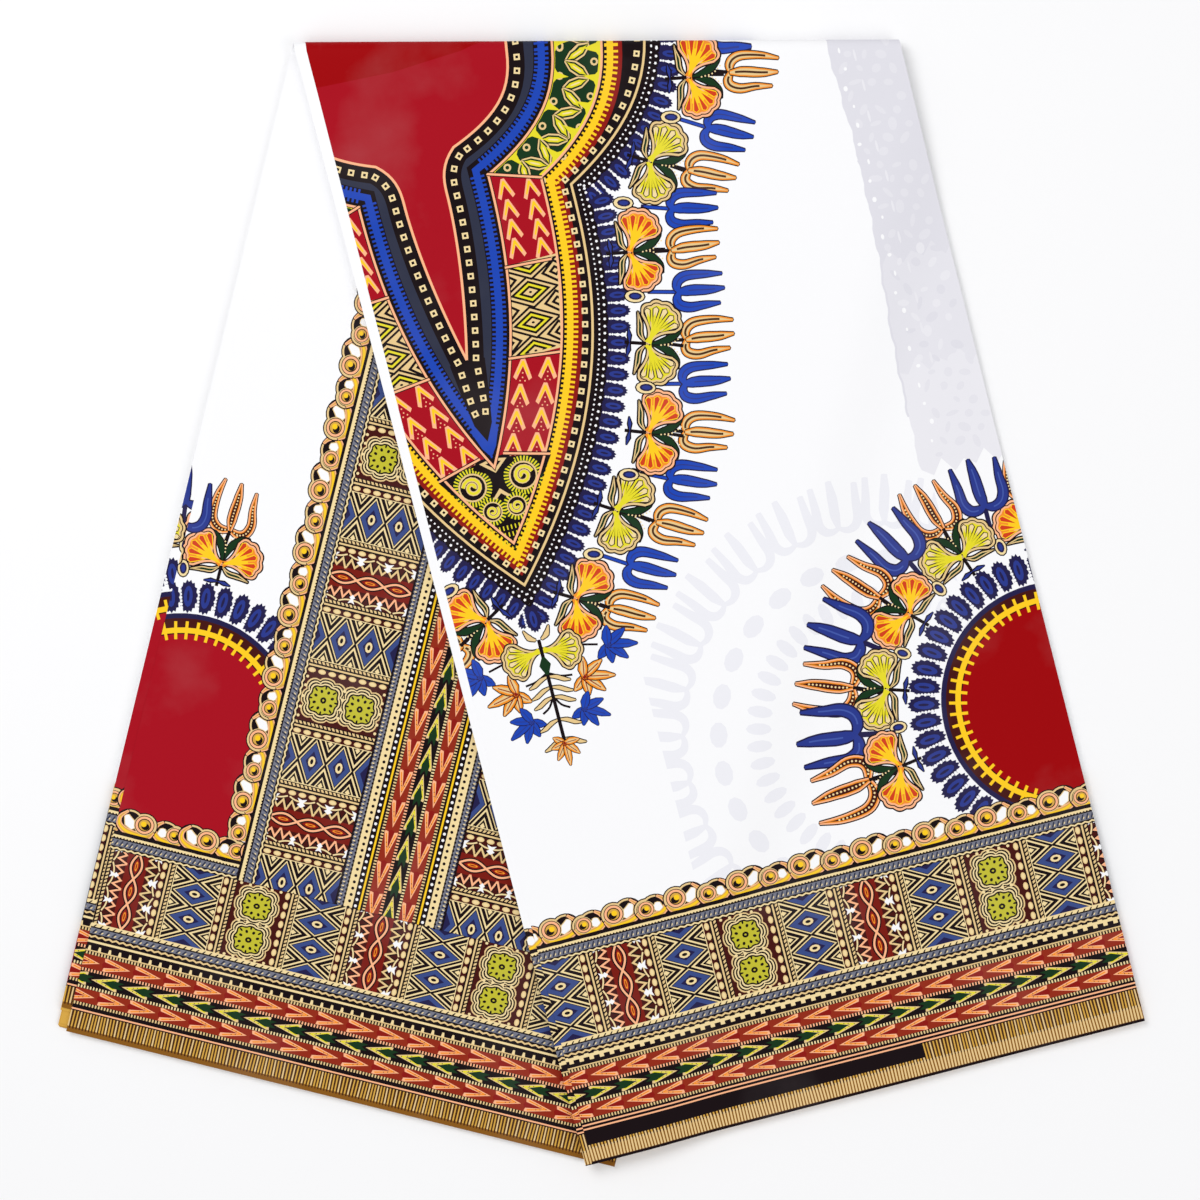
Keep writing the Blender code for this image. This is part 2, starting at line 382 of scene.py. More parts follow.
def rosette_panel():
    """Two eight-lobed yellow rosettes in nested outlines."""
    b = Block()
    b.box("maroon", -HALF_PANEL, 0, HALF_PANEL, PANEL_TALL)
    full = Block()
    centres = (22.0, 59.5)
    for radius, ink in ((24.0, "sand"), (22.4, "black"), (20.8, "cream"), (19.2, "black")):
        for y in centres:
            full.area(ink, lobed(0, y, radius * 0.94, 3.0, 8, 48))
    for y in centres:
        full.area("cream", lobed(0, y, 16.4, 3.2))
        full.area("black", lobed(0, y, 14.9, 3.0))
        full.area("lime", lobed(0, y, 13.2, 3.2))
        full.oval("black", 0, y, 3.4, 3.2, 8)
        full.oval("lime", 0, y, 1.3, 1.1, 5)
        for i in range(8):
            a = (i + 0.5) * pi / 4
            full.oval("black", 9.2 * cos(a), y + 9.2 * sin(a), 1.9, 1.5, 7, a)
            full.oval("black", 13.2 * cos(i * pi / 4), y + 13.2 * sin(i * pi / 4), 2.3, 1.0, 7, i * pi / 4)
    for x in (-14, -5, 5, 14):
        full.oval("cream", x, 40.8, 1.8, sides=6)
    for y in (1.5, 80.5):
        for x in (-20, -11, 0, 11, 20):
            full.oval("cream", x, y, 1.6, sides=6)
    b.stamp(full, window=PANEL_WINDOW)
    return b


def divider():
    """A column of beads and a slashed cord between lines."""
    b = Block()
    b.box("black", -7.1, 0, 7.1, PANEL_TALL)
    b.box("maroon", -7.1, 0, -1.6, PANEL_TALL)
    for y in np.arange(5.0, PANEL_TALL, 10.4):
        b.oval("sand", -3.8, y, 2.5, 4.0, 10)
        b.oval("cream", -3.8, y, 1.5, 2.8, 8)
    b.box("sand", 0.2, 0, 2.0, PANEL_TALL)
    b.box("sand", 3.6, 0, 6.2, PANEL_TALL)
    for y in np.arange(1.0, PANEL_TALL, 4.2):
        b.area("black", [(3.4, y), (3.4, y + 1.7), (6.4, y + 3.6), (6.4, y + 1.9)])
    return b


PANELS = {"zigzag": zigzag_panel(), "lozenge": lozenge_panel(), "rosette": rosette_panel()}
DIVIDER = divider()


def panel_row(x0, x1, order=("zigzag", "lozenge", "rosette", "lozenge")):
    """Panels with dividers, the first of the order centred on x = 0."""
    b = Block()
    for i in range(int(np.floor(x0 / PANEL - 0.5)), int(np.ceil(x1 / PANEL + 0.5)) + 1):
        b.stamp(PANELS[order[i % len(order)]], x=i * PANEL)
        b.stamp(DIVIDER, x=(i + 0.5) * PANEL)
    return b


def scroll():
    """A running scroll 64 steps long: a low curl round a white bud, then a tall one round a drop."""
    b = Block()
    for domes, ball, size, band, drop in (
            (((-32, 10, 10.8, 10.6), (-22, 10.5, 13.5, 12.2)), (-31.5, 10.2), 0.82,
             [(-41, 8), (-36, 2.6), (-26, 1.6), (-16, 4), (-10.5, 10), (-12.5, 17), (-18, 21.5)],
             [(-20.6, 6), (-19.4, 9.6), (-18.6, 14.5)]),
            (((0, 13.2, 12, 12), (15, 13, 13.6, 13)), (0, 13.6), 1.0,
             [(-10, 8), (-5, 2.4), (6, 1.6), (17, 3.4), (25, 9), (25.6, 17), (19, 24.4)],
             [(10.5, 7.5), (15, 12.6), (19.6, 19.6)])):
        for ink, grow in (("black", 1.5), ("sand", 0.3), ("black", -1.6)):
            for x, y, rx, ry in domes:
                b.oval(ink, x, y, rx + grow, ry + grow, 22)
        b.petal(curve(band, 3), [2.5, 5, 6.4, 6.2, 4.6, 3.2, 1.6],
                [("black", 1.4), ("peach", 0.5), ("wheat", -0.6)])
        b.petal(curve(band[1:-1], 3), [1, 2.2, 2.4, 1.8, 1], [("gold", 0)])
        b.petal(curve(drop, 4), [3.5, 9.5, 4], [("sand", 1.0), ("white", 0)])
        for ink, r in (("sand", 10.8), ("black", 10.0), ("peach", 9.2), ("black", 6.8), ("wheat", 5.8)):
            b.oval(ink, ball[0], ball[1], r * size, sides=20)
        b.oval("black", ball[0] - 1.2 * size, ball[1] - 1.4 * size, 4.2 * size, 3.6 * size, 12)
        b.oval("gold", ball[0] + 1.0 * size, ball[1] + 0.8 * size, 2.9 * size, sides=10)
    return b


SCROLL = scroll()
SCROLL.areas = [(i, p * [1, 0.95]) for i, p in SCROLL.areas]


def scrolls(x0, x1, first, mirror=False):
    b = Block()
    b.box("black", x0, 0, x1, 11)
    for x in np.arange(first + 64.2 * np.floor((x0 - 64 - first) / 64.2), x1 + 64, 64.2):
        b.stamp(SCROLL, x=x, mirror=mirror)
    b.box("black", x0, -2.6, x1, 1.0)
    return b


def cord_edge(x0, x1):
    """Waved cream cord, dusk-blue rope and a pale strip, 19 steps tall, from the panels outwards."""
    b = Block()
    b.box("black", x0, 0, x1, 19)
    xs = np.arange(x0, x1 + 3.6, 3.6)
    b.line("cream", np.column_stack([xs, 1.9 + np.where(np.arange(len(xs)) % 2, 0.7, -0.7)]), 1.5)
    b.box("dusk", x0, 4.2, x1, 11.0)
    for x in np.arange(x0 + 1, x1, 5.0):
        b.area("slate", [(x, 4.8), (x + 1.6, 4.8), (x + 4.2, 10.2), (x + 2.6, 10.2)])
        b.area("cream", [(x + 2.4, 5.6), (x + 3.4, 5.6), (x + 4.4, 7.6), (x + 3.4, 7.6)])
    b.box("cream", x0, 12.4, x1, 16.4)
    b.dots("black", [(x0, 12.4), (x1, 12.4)], 3.3, 0, 1.1, 0, 5)
    return b


def panel_border(x0, x1, first_scroll, wide, tall, offset, mirror=False):
    """Rope, panels, pale cord and scrolls: 35 steps and the panels', then the scrolls' 22."""
    b = Block()
    top = 16 + PANEL_TALL * tall
    b.box("black", x0, 0, x1, top + 18)
    b.stamp(rope(x0, x1))
    panels = Block()
    panels.areas = [(i, p * [wide, tall] + [offset, 0]) for i, p in panel_row(x0, x1).areas]
    b.stamp(panels, y=16)
    b.stamp(cord_edge(x0, x1), y=top)
    b.stamp(scrolls(x0, x1, first_scroll, mirror), y=top + 18)
    return b


def selvedge_ticks(x0, x1, tall, low):
    """Woven selvedge: close strokes, of the ink low at the edge and paler on brown towards the cloth."""
    b = Block()
    b.box("bark", x0, -6, x1, tall + 1)
    b.box("amber", x0, 3, x1, 15)
    for i, x in enumerate(np.arange(x0, x1, 3.2)):
        lean = 0.5 * sin(x * 0.11)
        b.area(low, [(x, 3), (x + 1.8, 3), (x + 1.8 + lean, 17), (x + lean, 17)])
        b.area("sand" if i % 3 == 0 else "wheat",
               [(x + lean, 17), (x + 1.6 + lean, 17), (x + 1.4 + 2 * lean, tall), (x + 0.1 + 2 * lean, tall)])
    b.box("black", x0, -6, x1, 2.4)
    return b


def hem_border(x0, x1, first_scroll, flip, green_first, plain=None):
    """The whole border at a selvedge. plain is the stretch of selvedge left dark."""
    b = Block()
    row = 67.4 if flip else 69.7
    b.box("black", x0, -6, x1, 218)
    b.stamp(selvedge_ticks(x0, x1, 34, "amber" if flip else "sand"), y=0)
    if plain:
        b.box("black", plain[0], 19.5, plain[1], 36)
    b.box("black", x0, 33.4, x1, 43)
    for y in (35.4, 39.4):
        b.box("peach", x0, y - 0.8, x1, y + 0.8)
    b.stamp(chevron_triple(x0, x1, 17.2, 13.4, flip, green_first),
            x=2.4 if flip else 0, y=row)
    b.box("sand", x0, row + 27.6, x1, row + 28.8)
    b.box("black", x0, row + 28.8, x1, row + 42)
    if flip:
        b.box("cream", x0, 103.6, x1, 105.8)
        for x in np.arange(x0, x1, 10.4):
            b.area("cream", [(x, 96.2), (x + 3.2, 96.2), (x + 2.6, 100.4), (x + 0.6, 100.4)])
    else:
        b.box("cream", x0, 105.2, x1, 112)
        for x in np.arange(x0, x1, 10.4):
            b.box("cream", x, 102.0, x + 4.4, 105.8)
            b.box("black", x, 108.0, x + 5.6, 109.4)
    if flip:
        b.stamp(panel_border(x0, x1, first_scroll, 1.0153, 0.925, -4, True), y=107.2)
    else:
        b.stamp(panel_border(x0, x1, first_scroll, 1.027, 0.98, -0.9), y=109)
    return b


# ---------------------------------------------------------------- flowers
def tulip(kind):
    """Three tall petals from a rounded cup on a stem, opening towards +x."""
    b = Block()
    wide = 1.16
    if kind in ("ochre", "beaded"):
        wide = 1.16 if kind == "beaded" else 0.96
        upper = curve([(0, 0), (-1, 8), (3, 14.5), (12, 18), (31, 17.5), (49, 14)], 4)
        lower = curve([(0, 0), (-3, -8), (0, -14), (10, -17), (25, -15), (42, -15)], 4)
    elif kind == "blue":
        wide = 0.92
        upper = curve([(0, 0), (-2, 7), (1, 14), (10, 18), (28, 17.5), (47, 16)], 4)
        lower = curve([(0, 0), (-3, -8), (0, -15), (10, -18.5), (25, -17.5), (42, -17)], 4)
    else:
        upper = curve([(0, 0), (-2, 6), (0, 12.5), (9, 16.5), (24, 16), (45, 16.5)], 4)
        lower = curve([(0, 0), (-3.5, -7), (-1, -14.5), (8, -19), (22, -20), (41, -22)], 4)
    centre = curve([(-1, 0), (13, 0.6), (31, -0.6), (48, -0.5)], 5)
    upper, lower = upper * [1, wide], lower * [1, wide]
    if kind == "ghost":
        for line, widths in ((upper, [3, 7, 9, 5]), (lower, [3, 7, 9, 5]), (centre, [3, 9, 9, 5])):
            b.petal(line, widths, [("ghost", 0.6)])
        return b
    if kind in ("blue", "dark"):
        b.line("navy", curve([(-33, 4), (-16, 2), (1, 0)], 3), 4.6)
        b.line("blue" if kind == "blue" else "navy", curve([(-30, 3.6), (-16, 2), (1, 0)], 3), 2.6)
        for ink, grow in (("navy", 0.8), ("blue" if kind == "blue" else "indigo", -0.6)):
            for line, widths in ((upper, [5, 8.5, 10, 10.5, 9.5, 7.5, 3]),
                                 (lower, [5, 8.5, 10, 10.5, 9.5, 7.5, 3]),
                                 (centre, [6, 10, 11, 10, 7.5, 3])):
                b.petal(line, widths, [(ink, grow)])
        for line in (upper, lower, centre):
            b.line("indigo" if kind == "blue" else "denim", line[4:-3], 1.3)
        return b
    b.line("black", [(-25, 3), (0, 0)], 3.8)
    for line, widths in ((upper, [5, 8, 9, 9, 8, 6, 2.4]), (lower, [5, 8, 9, 9, 8, 6, 2.4]),
                         (centre, [4, 9, 9.5, 7.5, 2.4])):
        if kind == "ochre":
            b.petal(line, widths, [("black", 1.2), ("orange", 0.1), ("sand", -1.3)])
            b.line("bark", line[2:-3], 2.2)
        else:
            b.petal(line, widths, [("black", 0.9), ("peach", -0.1), ("orange", -1.2), ("maroon", -2.2)])
            b.dots("cream", line[2:-3], 3.2, 0, 0.95, 0, 5)
    return b


def shell(fill, rim, ray):
    """A scalloped blossom on a narrow waist, its pivot at the origin, opening towards +x."""
    b = Block()
    a = np.linspace(-1.5, 1.5, 37)
    waist = curve([(-1, 1.4), (7, 3.6), (14, 9), (20, 17.5)], 3)

    def outline(grow):
        head = 0.985 + 0.10 * np.abs(np.cos(a * 5.0))
        arc = np.column_stack([23 + (17 + grow) * head * np.cos(a), (19.5 + grow) * head * np.sin(a)])
        side = sideways(waist, grow)
        return np.vstack([side * [1, -1], arc, side[::-1]])
    for ink, grow in (("black", 1.4), (rim, 0.0), ("black", -2.0), (rim, -3.0), (fill, -4.8)):
        b.area(ink, outline(grow))
    b.area("gold" if fill == "orange" else "lemon", [(0, 0), (14, -4), (23, -9), (27, 0), (23, 9), (14, 4)])
    for i in range(5):
        d = (i - 2) * 0.33
        c, s = cos(d), sin(d)

        def spot(r, w):
            return (7 + r * c - w * s, r * s + w * c)
        long = 29.0 - abs(i - 2) * 1.1
        for ink, slim, low in (("gold" if fill == "orange" else "black", 0, 9), (ray, 1.0, 12)):
            b.area(ink,
                   [spot(low, 0), spot(long - 8, slim - 2.5), spot(long - 2.8, slim - 3.3),
                    spot(long - slim, 0),
                         spot(long - 2.8, 3.3 - slim), spot(long - 8, 2.5 - slim)])
        if fill == "lemon":
            b.area("lemon", [spot(9, 0), spot(17, -1.3), spot(23, 0), spot(17, 1.3)])
    return b


def blossom_pair(warm):
    """Two shells from one waist with dark leaves beside them, the stem towards +x."""
    b = Block()
    fan = shell("orange", "peach", "scarlet") if warm else shell("lemon", "sand", "cream")
    b.line("black", curve([(-23, 0), (0, 0), (18, 1), (35, 0)], 3), 3.4)
    for side in (-1, 1):
        b.petal([(-18, 0), (-18.6, side * 7), (-20, side * 14)], [2, 5, 1],
                [("black", 0.5), ("indigo", -0.9)])
        b.petal(curve([(3, 0), (13, side * 2.5), (22, side * 7), (29, side * 15), (31, side * 23)], 4),
                [2, 6, 8, 6.5, 2],
                [("black", 0.6), ("green", -0.6)])
        b.dots("cream", curve([(12, side * -0.8), (24, side * 2), (33, side * 10)], 3), 3.6, 0, 0.9, 1, 5)
        b.petal(curve([(-3, side * 2), (-8, side * 9), (-9, side * 19), (-12, side * 31)], 4),
                [2, 5.5, 5.5, 1.5],
                [("black", 1.1), ("sand", -0.5), ("green", -1.7)])
    for side in (-1, 1):
        b.stamp(fan, y=side * 0.6, turn=side * 1.14, size=1.07 if side > 0 else 1.02)
    return b


def seed():
    """A dark seed lying along x, with the beaded white line beside it."""
    b = Block()
    for x in np.linspace(-9.5, 9.5, 8):
        b.oval("white", x, -8.1, 1.4, 1.3, sides=6)
    b.oval("white", 11.3, -8.1, 1.6, 2.2, sides=6)
    b.area("navy", ring(0, 0, 13.8, 8.0, 30) * np.where(np.arange(30) % 2, 1.0, 0.85)[:, None])
    b.oval("indigo", 0, 0, 8.6, 3.6, 12)
    b.oval("navy", 0.4, 0, 4.6, 1.1, 8)
    return b


def star_leaf(ink, edge):
    """A leaf of six pointed lobes, its stalk at the origin."""
    b = Block()
    lobes = ((-2.2, 15), (-1.35, 17), (-0.62, 22), (0.0, 27), (0.72, 21), (1.6, 17))
    for a, reach in lobes:
        line = np.array([(0, 0), (reach * 0.35, 0.6), (reach * 0.7, 0.3), (reach, 0)])
        line = line @ np.array([[cos(a), sin(a)], [-sin(a), cos(a)]]) + [7, 0]
        b.petal(line, [4, 8, 6.5, 1.2],
                [(edge, 0.9), (ink, 0)] + ([("sand", -1.6)] if ink == "orange" else []))
    for a, reach in lobes:
        line = (np.array([(0, 0), (reach * 0.4, 0), (reach * 0.8, 0)])
                @ np.array([[cos(a), sin(a)], [-sin(a), cos(a)]]) + [7, 0])
        b.line("indigo" if ink == "blue" else "brick", line, 0.9)
    return b


TULIPS = {kind: tulip(kind) for kind in ("ochre", "blue", "beaded", "dark", "ghost")}
BLOSSOMS = {True: blossom_pair(True), False: blossom_pair(False)}
SEED = seed()


# ---------------------------------------------------------------- the neck
NECK_TOP = 1185.0
# each line of the neck, on half of it: its half width at the fold, the corner where it turns
# down to the front, the point on the middle where it ends, and how square each part is
NeckLine = namedtuple("NeckLine", "half_width corner_x corner_y tip top_power side_power")
OPENING_SIZES = NeckLine(117.0, 40.0, 1017.0, 808.0, 5.8, 1.7)
FACING_SIZES = NeckLine(162.0, 65.0, 983.0, 701.0, 4.4, 2.3)
YOKE_SIZES = NeckLine(214.0, 118.0, 966.0, 618.0, 4.1, 2.3)
RIM_SIZES = NeckLine(262.0, 148.0, 950.0, 571.0, 3.7, 2.35)
SLIT_HALF_WIDTH = 22.0
SLIT_TOP = 970.0


def neck_top(sizes, count=29):
    """From the fold round the shoulder to the corner."""
    t = np.sin(np.linspace(0, pi / 2, count))
    return np.column_stack([sizes.corner_x + (sizes.half_width - sizes.corner_x) * (1 - t ** sizes.top_power),
                            NECK_TOP + (sizes.corner_y - NECK_TOP) * t])


def taper(x, high, tip, power, count=29):
    """A side that closes on the neck's middle."""
    t = np.linspace(0, 1, count)
    return np.column_stack([x * (1 - t ** power), high + (tip - high) * t])


def neck_side(sizes):
    return taper(sizes.corner_x, sizes.corner_y, sizes.tip, sizes.side_power)


def opening_line(sizes):
    """The opening: its shoulder, a small hollow turn, and the slit."""
    t = np.linspace(0, 1, 10)
    turn = np.column_stack([SLIT_HALF_WIDTH + (sizes.corner_x - SLIT_HALF_WIDTH) * (1 - t) ** 3,
                            sizes.corner_y + (SLIT_TOP - sizes.corner_y) * t])
    slit = taper(SLIT_HALF_WIDTH, SLIT_TOP, sizes.tip, sizes.side_power)
    return np.vstack([neck_top(sizes), turn[1:-1], slit])


OPENING = opening_line(OPENING_SIZES)
FACING_TOP, FACING_SIDE = neck_top(FACING_SIZES), neck_side(FACING_SIZES)
YOKE_TOP, YOKE_SIDE = neck_top(YOKE_SIZES), neck_side(YOKE_SIZES)
RIM_TOP, RIM_SIDE = neck_top(RIM_SIZES), neck_side(RIM_SIZES)


def whole(top, side):
    """A line from the fold down the side, carried on a little past the neck's middle."""
    past = side[-1] + (side[-1] - side[-2]) / hypot(*(side[-1] - side[-2])) * 26
    return np.vstack([top, side[1:-1], [past]])


RIGHT_HALF = np.array([(0, 400), (420, 400), (420, 1190), (0, 1190)])
LEFT_HALF = np.array([(-420, 400), (0, 400), (0, 1190), (-420, 1190)])


def between(a, b, low, high):
    """The area between two of the neck's side lines, from one height to another."""
    ys = np.linspace(high, low, 9)
    xa = np.interp(ys, a[::-1, 1], a[::-1, 0])
    xb = np.interp(ys, b[::-1, 1], b[::-1, 0])
    return np.vstack([np.column_stack([xa, ys]), np.column_stack([xb, ys])[::-1]])


def hatch_panel(b, centre_x, low, high):
    """Nested dark lozenges on yellow, filling the yoke from low to high."""
    frame_points = between(FACING_SIDE, YOKE_SIDE, low, high)[::-1]
    b.area("sand", frame_points)
    corners = [(np.interp(low, FACING_SIDE[::-1, 1], FACING_SIDE[::-1, 0]) + 1, low),
               (np.interp(low, YOKE_SIDE[::-1, 1], YOKE_SIDE[::-1, 0]) - 1, low),
               (np.interp(high, YOKE_SIDE[::-1, 1], YOKE_SIDE[::-1, 0]) - 1, high),
               (np.interp(high, FACING_SIDE[::-1, 1], FACING_SIDE[::-1, 0]) + 1, high)]
    full = Block()
    for y in (low + 2, (low + high) / 2 - 15, (low + high) / 2 + 15, high - 2):
        x = centre_x + (y - (low + high) / 2) * 0.16
        for i, r in enumerate((30, 25.5, 21, 16.5, 12, 7.5)):
            full.area("black" if i % 2 == 0 else "sand" if i % 4 == 1 else "lemon",
                      diamond(x, y, r, r * 0.56))
        full.oval("black", x, y, 1.7, 1.2, 6)
    for y in ((low + high) / 2 - 30, (low + high) / 2, (low + high) / 2 + 30):
        for side in (-1, 1):
            x = centre_x + (y - (low + high) / 2) * 0.16 + side * 27
            for i, r in enumerate((15, 11, 7, 3)):
                full.area("black" if i % 2 == 0 else "sand", diamond(x, y, r, r * 0.8))
    b.stamp(full, window=np.array(corners))
    b.line("sand", [corners[0], corners[1]], 2.2)
    b.line("sand", [corners[3], corners[2]], 2.2)


def arrowhead(ink_pip=True):
    """One gold arrowhead pointing up, 20 steps tall."""
    b = Block()
    for side in (-1, 1):
        b.area("peach", [(0, 10), (side * 1.6, 10), (side * 8.4, -7), (side * 5.6, -9.5), (0, 3)])
        b.area("gold", [(0, 8), (side * 1.0, 7.5), (side * 5.6, -4), (side * 4.4, -5), (0, 4)])
    if ink_pip:
        for x, y in ((0, -3), (0, -7), (2.2, -10), (-2.2, -10)):
            b.oval("peach", x, y, 0.8, sides=5)
    return b


def neck():
    """Everything round the neck opening, the right half; the left is its mirror image."""
    opening = OPENING
    facing, yoke, rim = whole(FACING_TOP, FACING_SIDE), whole(YOKE_TOP, YOKE_SIDE), whole(RIM_TOP, RIM_SIDE)
    b = Block()
    # seeds outside the rim on their dark ground
    b.ribbon("navy", rim, 0, 19)
    b.ribbon("black", rim, 0, 12)
    for x, y, a in along(sideways(rim, 22.5), 15.9, 6):
        if x > 3:
            b.stamp(SEED, x=x, y=y, turn=a + pi / 2, size=0.93)
    b.dots("white", rim, 7.0, 8.6, 1.5, 3, 5)
    b.dots("white", rim, 5.0, 3.2, 1.1, 1, 5)
    # dark band with squares, dark red band and the yellow comb
    b.area("black", np.vstack([[[0, 1185]], rim]))
    inner = np.vstack([[[0, 1185]], sideways(yoke, 19.5)])
    b.area("brick", inner)
    for x, y, a in along(sideways(rim, -11.0), 13.4, 4):
        if x > 2:
            b.area("cream", ring(x, y, 4.3, sides=4, turn=a + pi / 4))
            b.area("black", ring(x, y, 1.7, sides=4, turn=a + pi / 4))
    b.ribbon("black", yoke, 0, 5)
    b.ribbon("gold", yoke, 4.2, 10.6)
    b.ticks("gold", yoke, 4.9, 1.8, 15.4, 2.4, 1)
    b.line("sand", sideways(rim, -3.6), 2.4)
    # yoke panels
    b.area("green", np.vstack([[[0, 1185]], yoke]))
    top_ground = np.vstack([YOKE_TOP, [[65, 983]], FACING_TOP[::-1]])
    b.area("green", top_ground)
    leaf = Block()
    leaf.petal(curve([(-14, 0), (-5, 0), (5, 0), (14, 0)], 3), [2, 11, 11, 2],
               [("black", 1.2), ("sand", 0.4), ("green", -1.3), ("lemon", -3.0)])
    leaf.oval("cream", 0, 0, 5.5, 0.8, 8)
    middle = (sideways(FACING_TOP, 26.0))
    for i, (x, y, a) in enumerate(along(middle, 15.0, 4)):
        b.stamp(leaf, x=x, y=y, turn=a + pi / 2 + (0.55 if i % 2 else -0.55))
    for i, (x, y, a) in enumerate(along(middle, 30.0, 4)):
        for u, v in ((7.5, -17), (-7.5, 17)):
            px, py = x + u * cos(a) - v * sin(a), y + u * sin(a) + v * cos(a)
            b.oval("sand", px, py, 4.0, sides=10)
            b.oval("green", px, py, 2.0, sides=8)
    for line, side in ((sideways(FACING_TOP, 1.5), 1), (sideways(YOKE_TOP, -1.5), -1)):
        for x, y, a in along(line, 30.0, 4 if side > 0 else 20):
            pts = [(-11, 0), (11, 0), (3.5, side * 5), (0, side * 17), (-3.5, side * 5)]
            b.area("lemon", [(x + u * cos(a) - v * sin(a), y + u * sin(a) + v * cos(a)) for u, v in pts])
        b.ribbon("lemon", line, 0, side * 2.6)
    b.area("crimson_with_sheen", np.vstack([between(FACING_SIDE, YOKE_SIDE, 888, 965), [[65, 983]]]))
    for i, y in enumerate((958, 937, 917, 898)):
        left = np.interp(y, FACING_SIDE[::-1, 1], FACING_SIDE[::-1, 0])
        right = np.interp(y, YOKE_SIDE[::-1, 1], YOKE_SIDE[::-1, 0])
        for share in (0.27, 0.74):
            b.stamp(arrowhead(False), x=left + share * (right - left), y=y + (6 if share < 0.5 else 0),
                    size=1.05)
    hatch_panel(b, 76, 798, 888)
    b.area("crimson_with_sheen", between(FACING_SIDE, YOKE_SIDE, 700, 797))
    for i, y in enumerate((782, 758, 735, 712)):
        left = max(np.interp(y, FACING_SIDE[::-1, 1], FACING_SIDE[::-1, 0]), 8)
        right = np.interp(y, YOKE_SIDE[::-1, 1], YOKE_SIDE[::-1, 0])
        for share in (0.30, 0.74):
            b.stamp(arrowhead(), x=left + share * (right - left), y=y + (3 if share < 0.5 else -2),
                    size=1.12, turn=-0.28)
    # spirals at the foot of the yoke
    b.area("green", np.vstack([between(FACING_SIDE, YOKE_SIDE, 612, 700), [[0, 701], [0, 610]]]))
    b.area("black", [(0, 701), (12, 706), (58, 696), (44, 676), (0, 616)])
    for x, y, r, start in ((26, 683, 18.0, 0.2), (12.5, 655, 12.5, 2.6)):
        b.oval("green", x, y, r + 1.5, sides=22)
        b.ticks("lemon", ring(x, y, r - 1.0, sides=24), 3.1, -2.6, 2.4, 1.5)
        b.oval("sand", x, y, r * 0.80, sides=20)
        b.oval("black", x, y, r * 0.70, sides=20)
        a = np.linspace(start, start + 3.1 * pi, 22)
        rr = np.linspace(r * 0.54, r * 0.10, 22)
        b.line("sand", np.column_stack([x + rr * np.cos(a), y + rr * np.sin(a)]), r * 0.24)
        b.line("lemon", np.column_stack([x + rr * np.cos(a), y + rr * np.sin(a)]), r * 0.14)
    b.area("sand", [(0, 676), (9, 667), (6, 666), (0, 671)])
    b.area("black", [(0, 708), (15, 708), (22, 700), (0, 688)])
    b.area("sand", [(0, 707), (14, 704), (0, 692)])
    b.area("black", [(0, 704), (8, 702.5), (0, 696)])
    for y in (636, 629, 622):
        b.ticks("lemon", [(2, y), (y - 609, y)], 4.0, -2.2, 2.2, 1.2)
    # outlines of the yoke
    for line, lift in ((facing, 1.6), (yoke, -1.0)):
        b.ribbon("black", line, lift - 2.2 if lift > 0 else lift - 0.2,
                 lift + 2.0 if lift > 0 else lift + 2.4)
        b.line("peach", sideways(line, lift), 2.3)
    for (x0, y0), (x1, y1) in (((65, 983), (118, 966)), ((57, 888), (107, 885)), ((40, 799), (92, 793)),
                               ((12, 709), (57, 697))):
        b.line("black", [(x0, y0), (x1, y1)], 4.2)
        b.line("peach", [(x0, y0), (x1, y1)], 2.2)
    # facing: dark band with squares, slate, and the blue comb
    b.area("slate", np.vstack([[[0, 1185]], facing]))
    b.ribbon("black", facing, -17.5, 0)
    b.ribbon("blue", facing, -13.0, -6.0)
    b.ticks("blue", facing, 4.6, -16.6, -2.4, 2.2, 1)
    b.ribbon("black", opening, -1, 17)
    b.area("black", [(0, 812), (18, 806), (14, 775), (9, 742), (0, 724)])
    squares = np.vstack([sideways(opening, 9.4)[:-1], [(9.0, 806), (7.6, 780), (5.6, 755), (1.5, 736)]])
    for x, y, a in along(squares, 13.6, 2):
        if x > 4.5:
            b.area("cream", ring(x, y, 4.4, sides=4, turn=a + pi / 4))
            b.area("black", ring(x, y, 1.9, sides=4, turn=a + pi / 4))
    # painted sheen: the opening's red is the paler crimson, with ruby, the red without the sheen, only near
    # the fold
    b.area("crimson_with_sheen", np.vstack([[[0, 1185]], opening]))
    deep = cut_to(np.vstack([[[0, 1185]], opening]),
                  np.array([(-1, 1104), (400, 1125), (400, 1190), (-1, 1190)]))
    b.area("ruby", deep)
    b.line("peach", opening, 2.5)
    b.area("blue", [(-8, 704), (0, 708), (7, 718), (14.5, 738), (10, 740), (0, 723)])
    both = Block()
    both.stamp(b, window=RIGHT_HALF)
    both.stamp(b, mirror=True, window=LEFT_HALF)
    both.stamp(SEED, y=541, turn=-pi / 2)
    return both


